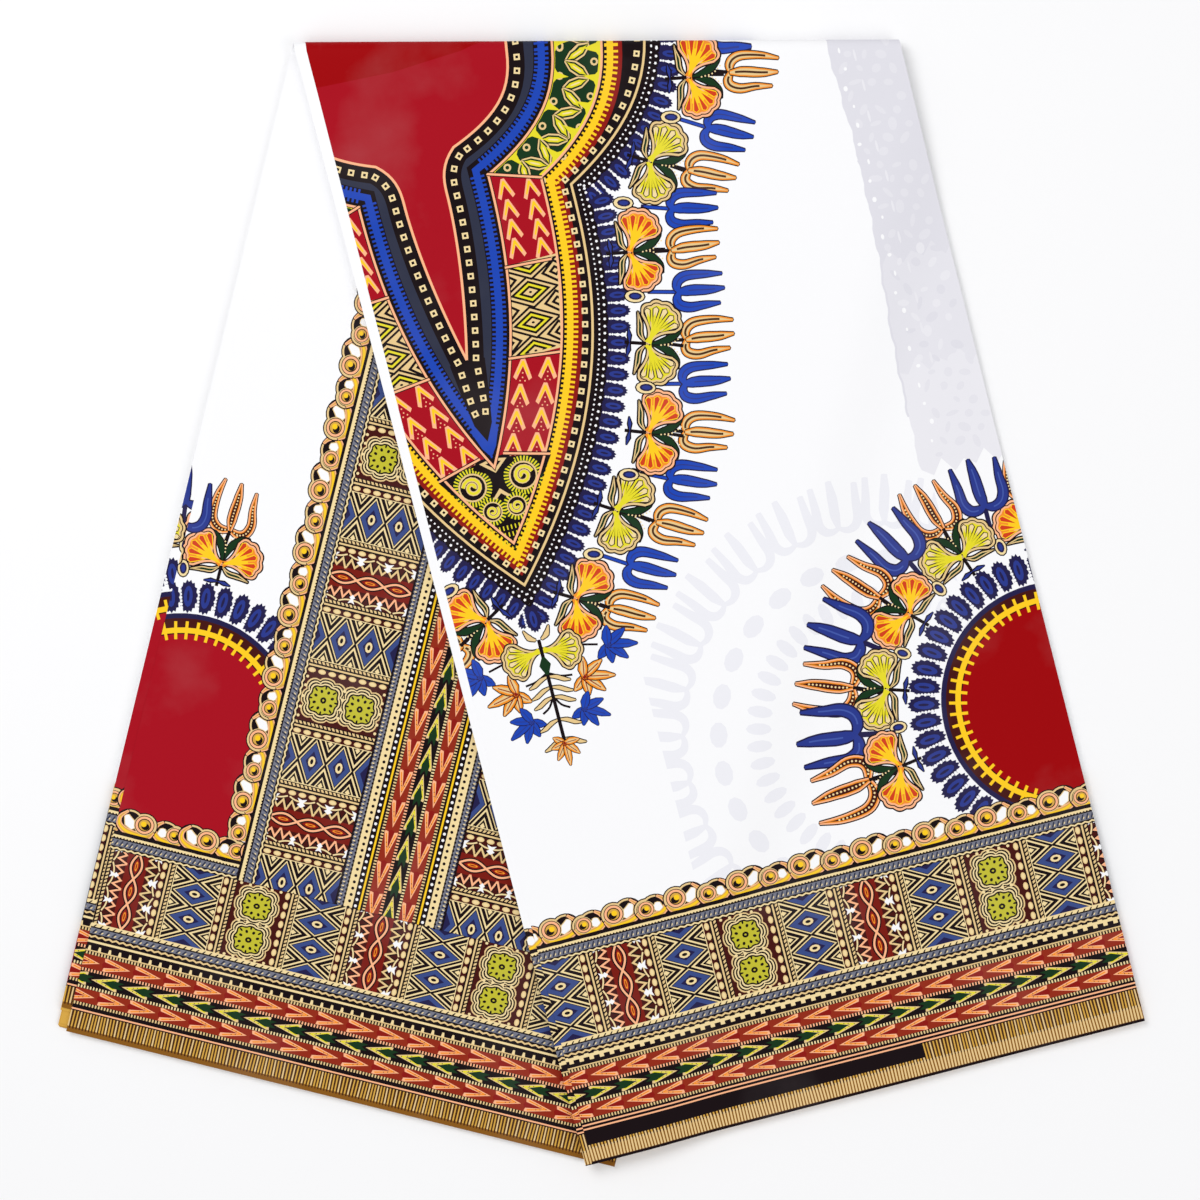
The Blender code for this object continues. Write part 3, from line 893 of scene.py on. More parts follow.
def neck_flowers():
    """The wreath of blossoms and tulips outside the neck's rim, right half."""
    b = Block()
    rows = [("blue", 317, 1063, -14), ("ochre", 326, 1020, -13), ("blue", 291, 972, -25),
            ("ochre", 262, 936, -23),
            ("blue", 236, 903, -12), ("ochre", 226, 863, -4), ("blue", 222, 821, -8), ("ochre", 218, 773, -6),
            ("blue", 205, 731, -7), ("ochre", 194, 684, -16), ("blue", 168, 642, -20),
            ("ochre", 144, 604, -27),
            ("blue", 108, 569, -26), ("ochre", 76, 533, -26)]
    pairs = [(True, 284, 1026, -10), (False, 226, 955, -30), (True, 184, 872, -10), (False, 179, 779, -18),
             (True, 157, 693, -20), (False, 107, 626, -32), (True, 46, 551, -30)]
    drops = [(257, 992), (190, 921), (178, 828), (166, 737), (128, 657), (74, 589)]
    for kind, x, y, turn in rows:
        b.stamp(TULIPS[kind], x=x, y=y, turn=radians(turn), size=0.95 if kind == "blue" else 0.98)
    for warm, x, y, turn in pairs:
        b.stamp(BLOSSOMS[warm], x=x, y=y, turn=radians(turn), size=1.02)
    for x, y in drops:
        b.oval("black", x, y, 11.0, 7.0, 12, -0.3)
        b.oval("cream", x, y, 9.6, 5.8, 12, -0.3)
        b.oval("navy", x + 0.6, y, 6.8, 3.8, 10, -0.3)
        b.oval("indigo", x + 0.6, y, 4.6, 2.2, 8, -0.3)
    # sprig under the point
    b.line("black", curve([(0, 486), (12, 480), (24, 478)], 3), 2.2)
    b.line("black", curve([(0, 462), (6, 452), (14, 447)], 3), 2.2)
    b.line("black", [(40, 505), (56, 501)], 2.2)
    for x, y, turn, ink, size in ((58, 500, -0.2, "blue", 1.1), (27, 475, -0.2, "orange", 1.15),
                                  (21, 446, -0.5, "blue", 1.0)):
        b.stamp(star_leaf(ink, "navy" if ink == "blue" else "black"), x=x, y=y, turn=turn, size=size)
    for y in (482, 471, 461, 438, 418):
        b.petal(curve([(1, y), (8, y - 2), (15, y - 6), (21, y - 8)], 3), [1.5, 3.6, 3.6, 1],
                [("black", 1.1), ("sand", 0)])
    b.petal(curve([(3, 520), (9, 524), (13, 532)], 3), [2, 5, 1], [("black", 1.1), ("sand", 0)])
    b.stamp(shell("lemon", "sand", "cream"), x=2, y=509, turn=-0.22, size=0.96)
    both = Block()
    both.stamp(b)
    both.stamp(b, mirror=True)
    both.line("black", [(0, 520), (0, 412)], 3.6)
    both.petal([(0, 502), (0, 494), (0, 484)], [3, 12, 3], [("green", 0)])
    both.stamp(star_leaf("orange", "black"), x=0, y=420, turn=-pi / 2, size=0.86)
    return both


def medallion(first, last, pitch, swell, heart="crimson_with_sheen"):
    """A red disc in rings of comb and seeds, with tulips and blossoms from first degrees to last."""
    b = Block()
    b.area("navy", ring(0, 0, 118, sides=64))
    for i in range(48):
        a = i * 2 * pi / 48 + radians(3)
        b.stamp(SEED, x=135 * cos(a), y=135 * sin(a), turn=a, size=1.24)
    b.area("maroon", ring(0, 0, 113, sides=64))
    circle = np.vstack([ring(0, 0, 101, sides=64), [[101, 0]]])
    b.area(heart, ring(0, 0, 97, sides=56))
    b.line("gold", circle, 5.4)
    b.ticks("gold", circle, 10.8, -9.0, 9.0, 3.0, 4)
    for i, a in enumerate(np.radians(np.arange(first, last, pitch))):
        c, s = cos(a), sin(a)
        if i % 2:
            for ink, long, across in (("black", 9.5, 6.6), ("cream", 8.2, 5.4), ("navy", 5.8, 3.6),
                                      ("indigo", 3.8, 2.0)):
                b.oval(ink, 163 * c, 163 * s, long, across, 12, a)
        b.stamp(TULIPS["dark" if i % 2 else "beaded"], x=207 * c, y=207 * s, turn=a, size=1 + swell * i)
        if not i % 2:
            b.stamp(BLOSSOMS[i % 4 == 0], x=172 * c, y=172 * s, turn=a, size=0.98)
    return b


def print_through():
    """The shadow of a medallion printed on the layer below, with its flowers as pale shapes."""
    b = Block()
    for i in range(28):
        a = i * 2 * pi / 28
        b.stamp(TULIPS["ghost"], x=208 * cos(a), y=208 * sin(a), turn=a)
        b.oval("ghost", 172 * cos(a), 172 * sin(a), 9, 13, 10, a)
    for i in range(48):
        a = i * 2 * pi / 48
        b.oval("ghost", 132 * cos(a), 132 * sin(a), 13, 6, 10, a)
    return b


# ---------------------------------------------------------------- setting the print out
def right_print():
    """Seen on the right wing. x = 0 is the neck's middle, y = 0 the selvedge."""
    b = Block()
    edge = [(float(np.interp(v, (588, 670, 730, 800, 870, 930, 1044), (412, 415, 418, 424, 428, 428, 424)))
             + 0.9 * sin(v / 7) + 0.5 * sin(v / 2.9), v) for v in range(1044, 584, -5)]
    for ink, low, high in (("mist", 586, 700), ("haze", 690, 810), ("pall", 800, 1044)):
        part = [p for p in edge if low - 6 < p[1] <= high + 6]
        foot = [(x, low + (7 if i % 2 else -5) + 3 * sin(1.7 * i)) for i, x in enumerate(range(424, 520, 11))]
        b.area(ink, part + foot + [(600, low), (600, high)])
    for i in range(90):
        x, v = 434 + (i * 37.7) % 56, 600 + (i * 61.3) % 425
        b.oval("haze" if v > 810 or v < 690 else ("mist", "pall")[i % 2], x, v, 4 + i % 4, 2.4 + i % 3,
               10, i * 0.7)
    # painted shade: a soft dark line along the band's left edge, beside a soft ridge
    b.line("pall", [p for p in edge if 640 < p[1] < 905], 2.2)
    for i, v in enumerate(range(1014, 600, -19)):
        b.oval("white", 436 + 2.5 * sin(i * 2.3) - (1030 - v) * 0.008, v, 1.2 + (i % 3) * 0.5,
               2.8 - (i % 2) * 1.0, sides=8)
    for i, v in enumerate(range(1006, 600, -31)):
        b.oval("mist", 450 + 1.5 * sin(i * 1.9), v, 1.3, 6.5, sides=7)
    b.stamp(print_through(), x=318, y=345, window=np.array([(92, 240), (420, 240), (420, 640), (92, 640)]))
    b.stamp(neck())
    b.stamp(neck_flowers())
    # this medallion's red is ruby, the red without the painted sheen of the crimson elsewhere
    b.stamp(medallion(83.4, 192, 13.16, 0.033, "ruby"), x=489, y=333)
    b.stamp(hem_border(-96, 512, -60, False, 27.3, plain=(-78, 271)))
    return b


def left_print():
    """Seen on the left wing. x = 0 is the middle of the upright band, y = 0 the selvedge."""
    b = Block()
    for side in (-1, 1):
        b.stamp(medallion(90, 200, 12.86, 0.0), x=side * 246.6, y=330, mirror=side > 0)
        b.box("crimson_with_sheen", min(side * 305, side * 165), 205, max(side * 305, side * 165), 330)
    b.stamp(hem_border(-305, 290, -258.6, True, -21.9))
    column, curls = Block(), Block()
    column.box("black", -140, 0, 560, 102.4)
    column.stamp(panel_row(-140, 560), y=1)
    column.stamp(cord_edge(-140, 560), y=83)
    curls.stamp(scrolls(-60, 560, 7), y=101.4)
    for side in (-1, 1):
        for block, low in ((curls, 238), (column, 199.4)):
            turned = Block()
            turned.areas = [(i, p * [1, -side]) for i, p in block.areas]
            b.stamp(turned, x=side * 54.6, y=269.6, turn=pi / 2,
                    window=np.array([(-300, low), (300, low), (300, 830), (-300, 830)]))
    b.box("black", -54.6, 199.4, 54.6, 790)
    for side in (-1, 1):
        for ink, near, far in (("dusk", 47.4, 53.6), ("cream", 37.6, 46.4), ("gold", 29.4, 31.4)):
            b.box(ink, min(side * near, side * far), 199.4, max(side * near, side * far), 790)
        for x, ink, wide, start in ((47.2, "black", 2.0, 0), (50.5, "slate", 1.8, 1.6),
                                    (53.8, "black", 2.0, 0.8), (51.6, "cream", 1.2, 3)):
            b.ticks(ink, [(side * x, 199.4), (side * x, 790)], 4.2, -1.1, 1.1, wide, start)
        b.dots("black", [(side * 41.4, 199.4), (side * 41.4, 790)], 6.5, 0, 1.7, 0, 6)
        b.dots("white", [(side * 34.6, 199.4), (side * 34.6, 790)], 6.5, 0, 1.6, 3, 6)
    triple = chevron_triple(-40, 564, 17.2, 13.4, False, 32.8)
    b.stamp(triple, y=219.6, turn=pi / 2, window=np.array([(-60, 199.4), (60, 199.4), (60, 790), (-60, 790)]))
    return b


# ---------------------------------------------------------------- the folded cloth
def bend_x(u):
    return u * cos(SKEW) - (RIGHT_WING - u * tan(SKEW)) * sin(SKEW)


def underside(x, y):
    """Height of the right wing's underside: on the floor, up on the left wing, up at the bend."""
    edge_x = bend_x(STRIP_WIDTH) - tan(SKEW) * pi * BEND_MIDDLE
    past = (x - edge_x) * cos(SKEW) - (y - BEND_Y) * sin(SKEW)
    down = smooth((past - DRAPE_STARTS) / DRAPE_WIDTH)
    rise = smooth(1 - (BEND_Y - y) / BEND_RISE)
    lying = (STACK + GAP) * (1 - down)
    return lying + (STACK + 2 * BEND_RADIUS - lying) * rise, rise


def on_fold(u, s, height):
    """Where a point of the cloth lies: u across the strip, s from the right hem, height in the stack."""
    u, s, height = (np.asarray(a, float) for a in (u, s, height))
    right_length = RIGHT_WING - u * tan(SKEW)
    over = s - right_length
    # right wing
    x = u * cos(SKEW) - s * sin(SKEW)
    y = u * sin(SKEW) + s * cos(SKEW)
    base, rise = underside(x, y)
    swell = sum(h * np.sin(m * 2 * pi * u / STRIP_WIDTH + n * 2 * pi * s / RIGHT_WING + t) for h, m, n,
                t in SWELLS)
    z = base + height + swell * (1 - rise) * height / STACK
    # bend
    turn = np.clip(over / BEND_LENGTH, 0, 1)
    radius = BEND_RADIUS + height
    bent = over > 0
    x = np.where(bent, bend_x(u) - tan(SKEW) * pi * BEND_MIDDLE * turn, x)
    y = np.where(bent, BEND_Y + radius * np.sin(pi * turn), y)
    z = np.where(bent, STACK + BEND_RADIUS + radius * np.cos(pi * turn), z)
    # left wing
    down = np.maximum(over - BEND_LENGTH, 0)
    left = over > BEND_LENGTH
    to_hem = SELVEDGE_TO_SELVEDGE - s
    sag = HEM_SAG * smooth(1 - to_hem / HEM_LENGTH)
    x = np.where(left, x - down * sin(SKEW), x)
    y = np.where(left, BEND_Y - down * cos(SKEW), y)
    z = np.where(left, (STACK - height) * (1 - sag), z)
    return np.stack([x + HEM_CORNER[0], y + HEM_CORNER[1], z], -1)


def right_edges(v):
    """Left and right edge of the top layer at a distance from the right hem."""
    share = np.clip(v / RIGHT_WING, 0, 1)
    inset = RIGHT_INSET_AT_HEM + (RIGHT_INSET_AT_BEND - RIGHT_INSET_AT_HEM) * share
    return inset - FLARE_AT_BEND * share, STRIP_WIDTH + FLARE_AT_BEND * share - 0.0002


def left_edges(v):
    """Left and right edge of the layer that shows on the left wing, from its own hem."""
    flare = FLARE_AT_BEND - (FLARE_AT_BEND + LEFT_HEM_DRAWN_IN) * (1 - np.clip(v / LEFT_WING, 0, 1))
    return LEFT_INSET - flare, STRIP_WIDTH + FLARE_AT_BEND * np.clip(v / LEFT_WING, 0, 1) - 0.0002


def split(points, edges, faces):
    """Points and triangles of a flat drawing, and the faces round each triangle."""
    made = geometry.delaunay_2d_cdt([Vector(p) for p in points], edges, faces, 0, 0.002, True)
    return np.array([tuple(p) for p in made[0]]), np.array(made[2]), made[5]


def cloth_shapes(outline, areas):
    """The cloth's outline and the areas on it, in order, without repeated corners."""
    shapes = [(DYE_NUMBER["white"], np.asarray(outline, float))]
    for ink, p in areas:
        p = np.round(p, 2)
        p = p[np.hypot(*(p - np.roll(p, 1, 0)).T) > 0.006]
        if len(p) > 2:
            shapes.append((ink, p))
    return shapes


def inks_at(places, shapes):
    """The uppermost ink at each place; -1 is off the cloth."""
    order = np.argsort(places[:, 0])
    cx, cy = places[order, 0], places[order, 1]
    top = np.full(len(places), -1)
    for number, (ink, p) in enumerate(shapes):
        low, high = p.min(0), p.max(0)
        a, b = np.searchsorted(cx, (low[0], high[0]))
        near = np.arange(a, b)[(cy[a:b] > low[1]) & (cy[a:b] < high[1])]
        if number:
            near = near[top[near] >= 0]
        x, y = cx[near, None], cy[near, None]
        q = np.roll(p, -1, 0)
        crossing = (p[:, 1] > y) != (q[:, 1] > y)
        rise = np.where(q[:, 1] == p[:, 1], 1e-9, q[:, 1] - p[:, 1])
        beyond = x < p[:, 0] + (y - p[:, 1]) * (q[:, 0] - p[:, 0]) / rise
        top[near[(crossing & beyond).sum(1) % 2 == 1]] = ink
    found = np.empty(len(places), int)
    found[order] = top
    return found


def cut_apart(shapes):
    """Every area's outline cut into the flat cloth: triangles and the ink on each."""
    points, drawn = [], []
    for ink, p in shapes:
        first = len(points)
        points.extend(map(tuple, p))
        drawn += [(first + k, first + (k + 1) % len(p)) for k in range(len(p))]
    flat, tris = split(points, drawn, [])[:2]
    return flat, tris, inks_at(flat[tris].mean(1), shapes)


def ink_edges(flat, tris, ink):
    """Edges between two inks, with straight runs joined."""
    ends = np.vstack([tris[:, [0, 1]], tris[:, [1, 2]], tris[:, [2, 0]]])
    inks = np.tile(ink, 3)
    left = {}
    for (a, b), i in zip(ends.tolist(), inks.tolist()):
        left[(a, b)] = i
    kept = {}
    for (a, b), i in left.items():
        other = left.get((b, a), -1)
        if i != other and (b, a) not in kept:
            kept[(a, b)] = (i, other)
    at = {}
    for (a, b), (i, j) in kept.items():
        at.setdefault(a, []).append((b, i, j))
        at.setdefault(b, []).append((a, j, i))
    for v in list(at):
        if len(at[v]) != 2:
            continue
        (a, i1, j1), (b, i2, j2) = at[v]
        if a == b or (i1, j1) != (j2, i2) or any(n[0] == b for n in at[a]):
            continue
        along_ab = flat[b] - flat[a]
        off = flat[v] - flat[a]
        length = hypot(*along_ab)
        if length < 1e-6 or abs(along_ab[0] * off[1] - along_ab[1] * off[0]) / length > 0.006 or length > 40:
            continue
        at[a] = [n for n in at[a] if n[0] != v] + [(b, j1, i1)]
        at[b] = [n for n in at[b] if n[0] != v] + [(a, j2, i2)]
        del at[v]
    return [(a, b) for a in at for b, i, j in at[a] if a < b]


def ruled(shapes, lines):
    """The print cut along its visible edges and along ruled lines: points, triangles and inks."""
    flat, tris, ink = cut_apart(shapes)
    edges = ink_edges(flat, tris, ink)
    used = sorted({v for e in edges for v in e})
    number = {v: k for k, v in enumerate(used)}
    points = [tuple(flat[v]) for v in used]
    drawn = [(number[a], number[b]) for a, b in edges]
    for a, b in lines:
        drawn.append((len(points), len(points) + 1))
        points.extend([a, b])
    flat, tris = split(points, drawn, [])[:2]
    ink = inks_at(flat[tris].mean(1), shapes)
    kept, back_to = np.unique(tris[ink >= 0], return_inverse=True)
    return flat[kept], back_to.reshape(-1, 3), ink[ink >= 0]


def printed_layer(name, areas, place, edges, end, heights, lattice=10.0, seen=None, shift=(0.0, 0.0)):
    """A layer of cloth, its print cut into its own mesh.

    areas are in steps, place(u, v, height) puts a point of the cloth on the fold, edges(v) are
    its sides, end(u) its length, heights those of its face and its back in the stack."""
    mm = 1000.0
    rows = np.arange(0, 700, lattice)
    span = end(STRIP_WIDTH / 2) * mm
    vs = np.linspace(0, span, 61) / mm
    low = [edges(v)[0] for v in vs]
    high = [edges(v)[1] for v in vs]
    # the ends follow the fold, so each side has its own length
    low_side = [(low[i] * mm, vs[i] / vs[-1] * end(low[-1]) * mm) for i in range(len(vs))]
    high_side = [(high[i] * mm, vs[i] / vs[-1] * end(high[-1]) * mm) for i in range(len(vs))]
    hem_wave = [(u, 0.0) for u in np.linspace(low_side[0][0], high_side[0][0], 40)[1:-1]]
    outline = hem_wave + high_side + low_side[::-1]
    box_low, box_high = np.min(outline, 0) - 1, np.max(outline, 0) + 1
    on_it = []
    for ink, area in areas:
        area = (area + shift) * STEP
        if (area.max(0) < box_low).any() or (area.min(0) > box_high).any():
            continue
        if seen is None or seen(area):
            on_it.append((ink, area))
    lines = []
    left, right = box_low[0], box_high[0]
    for v in rows:
        lines.append(((left, v), (right, v)))
    for u in np.arange(left, right, lattice):
        lines.append(((u, -5.0), (u, box_high[1] + 5)))
    slope = tan(SKEW)
    first = (end(0) - BEND_LENGTH * (1 if end(0) > 0.6 else 0)) * mm
    sign = -1 if end(STRIP_WIDTH) < end(0) else 1
    for i in range(0, 11):
        v = first + BEND_LENGTH * mm * i / 10
        lines.append(((left, v + sign * slope * left), (right, v + sign * slope * right)))
    flat, tris, ink_of = ruled(cloth_shapes(outline, on_it), lines)
    # boundary of the face, in order
    count = {}
    for t in tris:
        for a, b in ((t[0], t[1]), (t[1], t[2]), (t[2], t[0])):
            count[(a, b)] = 1
    rim = {a: b for a, b in count if (b, a) not in count}
    loop = [next(iter(rim))]
    while rim[loop[-1]] != loop[0] and len(loop) <= len(rim):
        loop.append(rim[loop[-1]])
    # plain back, sharing the boundary
    border = flat[loop]
    grid = [(u, v) for u in np.arange(left + 5, right, 7.0) for v in np.arange(6, box_high[1], 9.0)]
    for i in range(0, 11, 1):
        for u in np.arange(left + 4, right, 7.0):
            grid.append((u, first + BEND_LENGTH * mm * i / 10 + sign * slope * u))
    ends = np.array([end(u / mm) * mm for u, v in grid])
    grid = [g for g, e in zip(grid, ends)
            if edges(g[1] / mm)[0] * mm + 2 < g[0] < edges(g[1] / mm)[1] * mm - 2 and 2 < g[1] < e - 0.4]
    back_points = [tuple(p) for p in border] + grid
    back_flat, back_tris, back_inside = split(back_points, [], [list(range(len(border)))])
    back_tris = back_tris[[0 in f for f in back_inside]]
    face_height, back_height = heights
    top = place(flat[:, 0] / mm, flat[:, 1] / mm, face_height)
    back = place(back_flat[:, 0] / mm, back_flat[:, 1] / mm, back_height)
    mesh = bpy.data.meshes.new(name)
    offset = len(top)
    match = {tuple(np.round(p, 3)): i for i, p in enumerate(back_flat)}
    lower = [offset + match[tuple(np.round(p, 3))] for p in border]
    quads = [[loop[i], lower[i], lower[(i + 1) % len(loop)], loop[(i + 1) % len(loop)]] for i
             in range(len(loop))]
    all_faces = tris.tolist() + [[c + offset for c in t[::-1]] for t in back_tris.tolist()] + quads
    mesh.from_pydata(np.vstack([top, back]).tolist(), [], all_faces)
    colours = np.vstack([DYE_TABLE[ink_of], np.tile(DYE_TABLE[0], (len(back_tris) + len(quads), 1))])
    ink_data = mesh.attributes.new("ink", "FLOAT_VECTOR", "FACE")
    ink_data.data.foreach_set("vector", colours.astype(np.float32).ravel())
    # cloth coordinates for the weave, and a layout that fills a square
    both = np.vstack([flat, back_flat]) / mm
    loops = np.concatenate([np.array(f) for f in all_faces])
    weave = mesh.uv_layers.new(name="Weave")
    weave.data.foreach_set("uv", both[loops].astype(np.float32).ravel())
    area_map = mesh.uv_layers.new(name="OFBake")
    scale = both / both.max(0)
    front = len(tris) * 3
    behind = front + len(back_tris) * 3
    lay = scale[loops].copy()
    lay[:front, 0] = 0.005 + lay[:front, 0] * 0.83
    lay[front:behind, 0] = 0.86 + lay[front:behind, 0] * 0.13
    for i in range(len(quads)):
        for k, (dx, dy) in enumerate(((0, 0), (1, 0), (1, 1), (0, 1))):
            lay[behind + 4 * i + k] = (0.843 + 0.01 * dx, 0.002 + 0.995 * (i + dy) / len(quads))
    area_map.data.foreach_set("uv", lay.astype(np.float32).ravel())
    # shading follows the cloth's own surface, not its many small faces
    normals = np.zeros((len(loops), 3))
    e = 0.0005
    u, v = both[:, 0], both[:, 1]
    h = np.concatenate([np.full(len(top), face_height), np.full(len(back), back_height)])
    du = place(u + e, v, h) - place(u - e, v, h)
    dv = place(u, v + e, h) - place(u, v - e, h)
    n = np.cross(du, dv)
    n /= np.linalg.norm(n, axis=1)[:, None]
    normals[:behind] = n[loops[:behind]]
    normals[front:behind] *= -1
    mesh.polygons.foreach_set("use_smooth", [True] * len(mesh.polygons))
    mesh.update()
    for i in range(len(quads)):
        normals[behind + 4 * i:behind + 4 * i + 4] = mesh.polygons[len(tris) + len(back_tris) + i].normal
    mesh.normals_split_custom_set(normals.tolist())
    obj = bpy.data.objects.new(name, mesh)
    bpy.context.scene.collection.objects.link(obj)
    return obj


def place_left(u, v, height):
    return on_fold(u, SELVEDGE_TO_SELVEDGE - np.asarray(v, float), height)


def under_right_wing(area):
    """False for print on the left wing that the right wing hides."""
    u, v = area[:, 0] / STEP, area[:, 1] / STEP
    return bool((v < 1018 - (u - 3) * 1.772 + 14).any())


right_areas = right_print().areas
left_areas = left_print().areas
second_right_areas = hem_border(-96, 512, -60, False, 27.3).areas

def at_left_margin(area):
    """True for print near the left edge, where a second layer shows past the first."""
    return area[:, 0].min() < 14.0


def wider(edges, outwards):
    """Edges of the strip of the next layer that shows past the left edge of the first."""
    return lambda v: (edges(v)[0] - outwards(v), edges(v)[0] + SECOND_LAYER_WIDTH)


def right_length(u):
    return RIGHT_WING - u * tan(SKEW) + BEND_LENGTH


def left_length(u):
    return LEFT_WING + u * tan(SKEW)


def right_inset(v):
    """How far the second layer stands out past the first on the right wing's left side."""
    return RIGHT_INSET_AT_HEM + (RIGHT_INSET_AT_BEND - RIGHT_INSET_AT_HEM) * np.clip(v / RIGHT_WING, 0, 1)


UNDER = CLOTH_SHOWN + 0.00003
SECOND_LAYER_THICK = 0.0004
right_wing_cloth = printed_layer(
    "right_wing_cloth", right_areas, on_fold, right_edges, right_length,
    (STACK, STACK - CLOTH_SHOWN), shift=(85.0, 0.0))
right_second_layer = printed_layer(
    "right_second_layer", second_right_areas, on_fold,
    wider(right_edges, right_inset), right_length, (STACK - UNDER, STACK - UNDER - SECOND_LAYER_THICK),
    lattice=14.0, seen=at_left_margin, shift=(82.0, -2.0))
left_wing_cloth = printed_layer(
    "left_wing_cloth", left_areas, place_left, left_edges, left_length,
    (0.0, CLOTH_SHOWN), seen=under_right_wing, shift=(297.6, -11.0))
left_second_layer = printed_layer(
    "left_second_layer", left_areas, lambda u, v, h: place_left(u, np.asarray(v) + SECOND_LAYER_SHORT, h),
    wider(left_edges, lambda v: LEFT_INSET - 0.0004), lambda u: left_length(u) - SECOND_LAYER_SHORT,
    (UNDER, UNDER + SECOND_LAYER_THICK), lattice=14.0, seen=at_left_margin, shift=(294.0, -11.0))

# ---------------------------------------------------------------- the leaves between
LEAVES = 7
LEAF_PITCH = 0.00056
LEFT_LIFT = 0.00090    # the leaves lie this much further out on the left wing
# how far each leaf's edge stands out, from the inside of the fold outwards:
# right wing's left side, left wing's left side, both right sides, both hems
LEAF_EDGES = np.array([
    (-0.0018, -0.0004, -0.0020, -0.0032), (-0.0010, -0.0001, -0.0014, -0.0030),
    (-0.0016, -0.0012, -0.0020, -0.0024), (-0.0006, -0.0008, -0.0008, -0.0018),
    (-0.0012, -0.0019, -0.0016, -0.0015), (-0.0002, -0.0013, -0.0004, -0.0011),
    (-0.0005, -0.0018, -0.0010, -0.0009)])
# ink that shows on a leaf's edge, by distance from its hem
EDGE_INKS = ((0.019, "wheat"), (0.024, "black"), (0.054, "crimson_with_sheen"), (0.060, "sand"), (0.112, "slate"),
             (0.122, "black"), (0.136, "wheat"))


def cloth_leaves():
    """The doubled layers between the faces, each with rounded folds down its sides."""
    marks = [m for m, ink in EDGE_INKS]
    bend = RIGHT_WING - STRIP_WIDTH * tan(SKEW)
    columns = 30
    vertices, faces, inks = [], [], []
    for k, (right_out, left_out, side_out, hem_out) in enumerate(LEAF_EDGES):
        stations = np.unique(np.concatenate([
            np.linspace(0, marks[-1], 18), marks, np.linspace(marks[-1], bend, 45),
            np.linspace(bend, RIGHT_WING + BEND_LENGTH, 40),
            np.linspace(RIGHT_WING + BEND_LENGTH, SELVEDGE_TO_SELVEDGE - marks[-1], 14),
            SELVEDGE_TO_SELVEDGE - np.array(marks), [SELVEDGE_TO_SELVEDGE]]))
        radius = 0.00050 / 2
        arc = np.linspace(-pi / 2, pi / 2, 5)
        ring_share = np.concatenate([np.zeros(5), np.arange(1, columns) / columns, np.ones(5),
                                     np.arange(columns - 1, 0, -1) / columns])
        ring_out = np.concatenate([-np.cos(arc[::-1]), np.zeros(columns - 1), np.cos(arc),
                                   np.zeros(columns - 1)]) * radius
        ring_h = np.concatenate([np.sin(arc[::-1]), -np.ones(columns - 1), np.sin(arc),
                                 np.ones(columns - 1)]) * radius
        sink = 0.00007 * k * np.minimum(1, 9 * np.minimum(ring_share, 1 - ring_share))
        ring_h = ring_h - sink
        first = len(vertices)
        for s in stations:
            share = np.clip(s / RIGHT_WING, 0, 1)
            left_share = np.clip((SELVEDGE_TO_SELVEDGE - s) / LEFT_WING, 0, 1)
            on_left = smooth((s - RIGHT_WING + 0.05) / 0.1)
            wander = 0.00022 * sin(9.0 * s + 2.3 * k) + 0.00012 * sin(31.0 * s + 1.1 * k)
            out = right_out * (1 - on_left) + left_out * on_left
            flare = FLARE_AT_BEND * share * (1 - on_left) + on_left * (
                FLARE_AT_BEND - (FLARE_AT_BEND + LEFT_HEM_DRAWN_IN) * (1 - left_share))
            low = -flare - out + wander + radius
            flared = FLARE_AT_BEND * min(share, left_share if s > RIGHT_WING else 1)
            high = STRIP_WIDTH + flared + side_out + wander - radius
            end = hem_out - (SECOND_LAYER_SHORT * smooth(1 - 3 * k / LEAVES) if s > RIGHT_WING else 0)
            near = max(0.0, 1 - min(s, SELVEDGE_TO_SELVEDGE - s) / HEM_LENGTH)
            along_s = s - end * near if s < RIGHT_WING else s + end * near
            u = low + (high - low) * ring_share + ring_out
            past = (along_s - (RIGHT_WING - u * tan(SKEW))) / BEND_LENGTH
            middle = 0.00001 + LEAF_PITCH * (k + 0.5) + LEFT_LIFT * np.clip(past, 0, 1)
            vertices.extend(on_fold(u, np.full(len(u), along_s), middle + ring_h).tolist())
        n = len(ring_share)
        for i in range(len(stations) - 1):
            centre = (stations[i] + stations[i + 1]) / 2
            to_hem = min(centre, SELVEDGE_TO_SELVEDGE - centre)
            ink = next((name for limit, name in EDGE_INKS if to_hem < limit), "white")
            for j in range(n):
                a, b = first + i * n + j, first + i * n + (j + 1) % n
                faces.append([a, b, b + n, a + n])
                inks.append(ink)
        for start, flip in ((first, True), (first + (len(stations) - 1) * n, False)):
            # strips between the lower and the upper side close each end
            lower = [start + 4 + j for j in range(columns + 1)]
            upper = [start + (n - j) % n for j in range(columns + 1)]
            for j in range(columns):
                quad = [lower[j], lower[j + 1], upper[j + 1], upper[j]]
                faces.append(quad if flip else quad[::-1])
                inks.append("wheat")
            for side in ([start + j for j in range(5)], [start + 4 + columns + j for j in range(5)]):
                faces.append(side if flip else side[::-1])
                inks.append("wheat")
    mesh = bpy.data.meshes.new("cloth_leaves")
    mesh.from_pydata(vertices, [], faces)
    data = mesh.attributes.new("ink", "FLOAT_VECTOR", "FACE")
    data.data.foreach_set("vector", np.array([DYES[i] for i in inks], np.float32).ravel())
    weave = mesh.uv_layers.new(name="Weave")
    co = np.array(vertices)
    loops = np.concatenate([np.array(f) for f in faces])
    weave.data.foreach_set("uv", co[loops][:, :2].astype(np.float32).ravel())
    mesh.update()
    work = bmesh.new()
    work.from_mesh(mesh)
    bmesh.ops.recalc_face_normals(work, faces=work.faces)
    work.to_mesh(mesh)
    work.free()
    mesh.shade_smooth()
    mesh.set_sharp_from_angle(angle=radians(50))
    obj = bpy.data.objects.new("cloth_leaves", mesh)
    bpy.context.scene.collection.objects.link(obj)
    return obj


leaves = cloth_leaves()


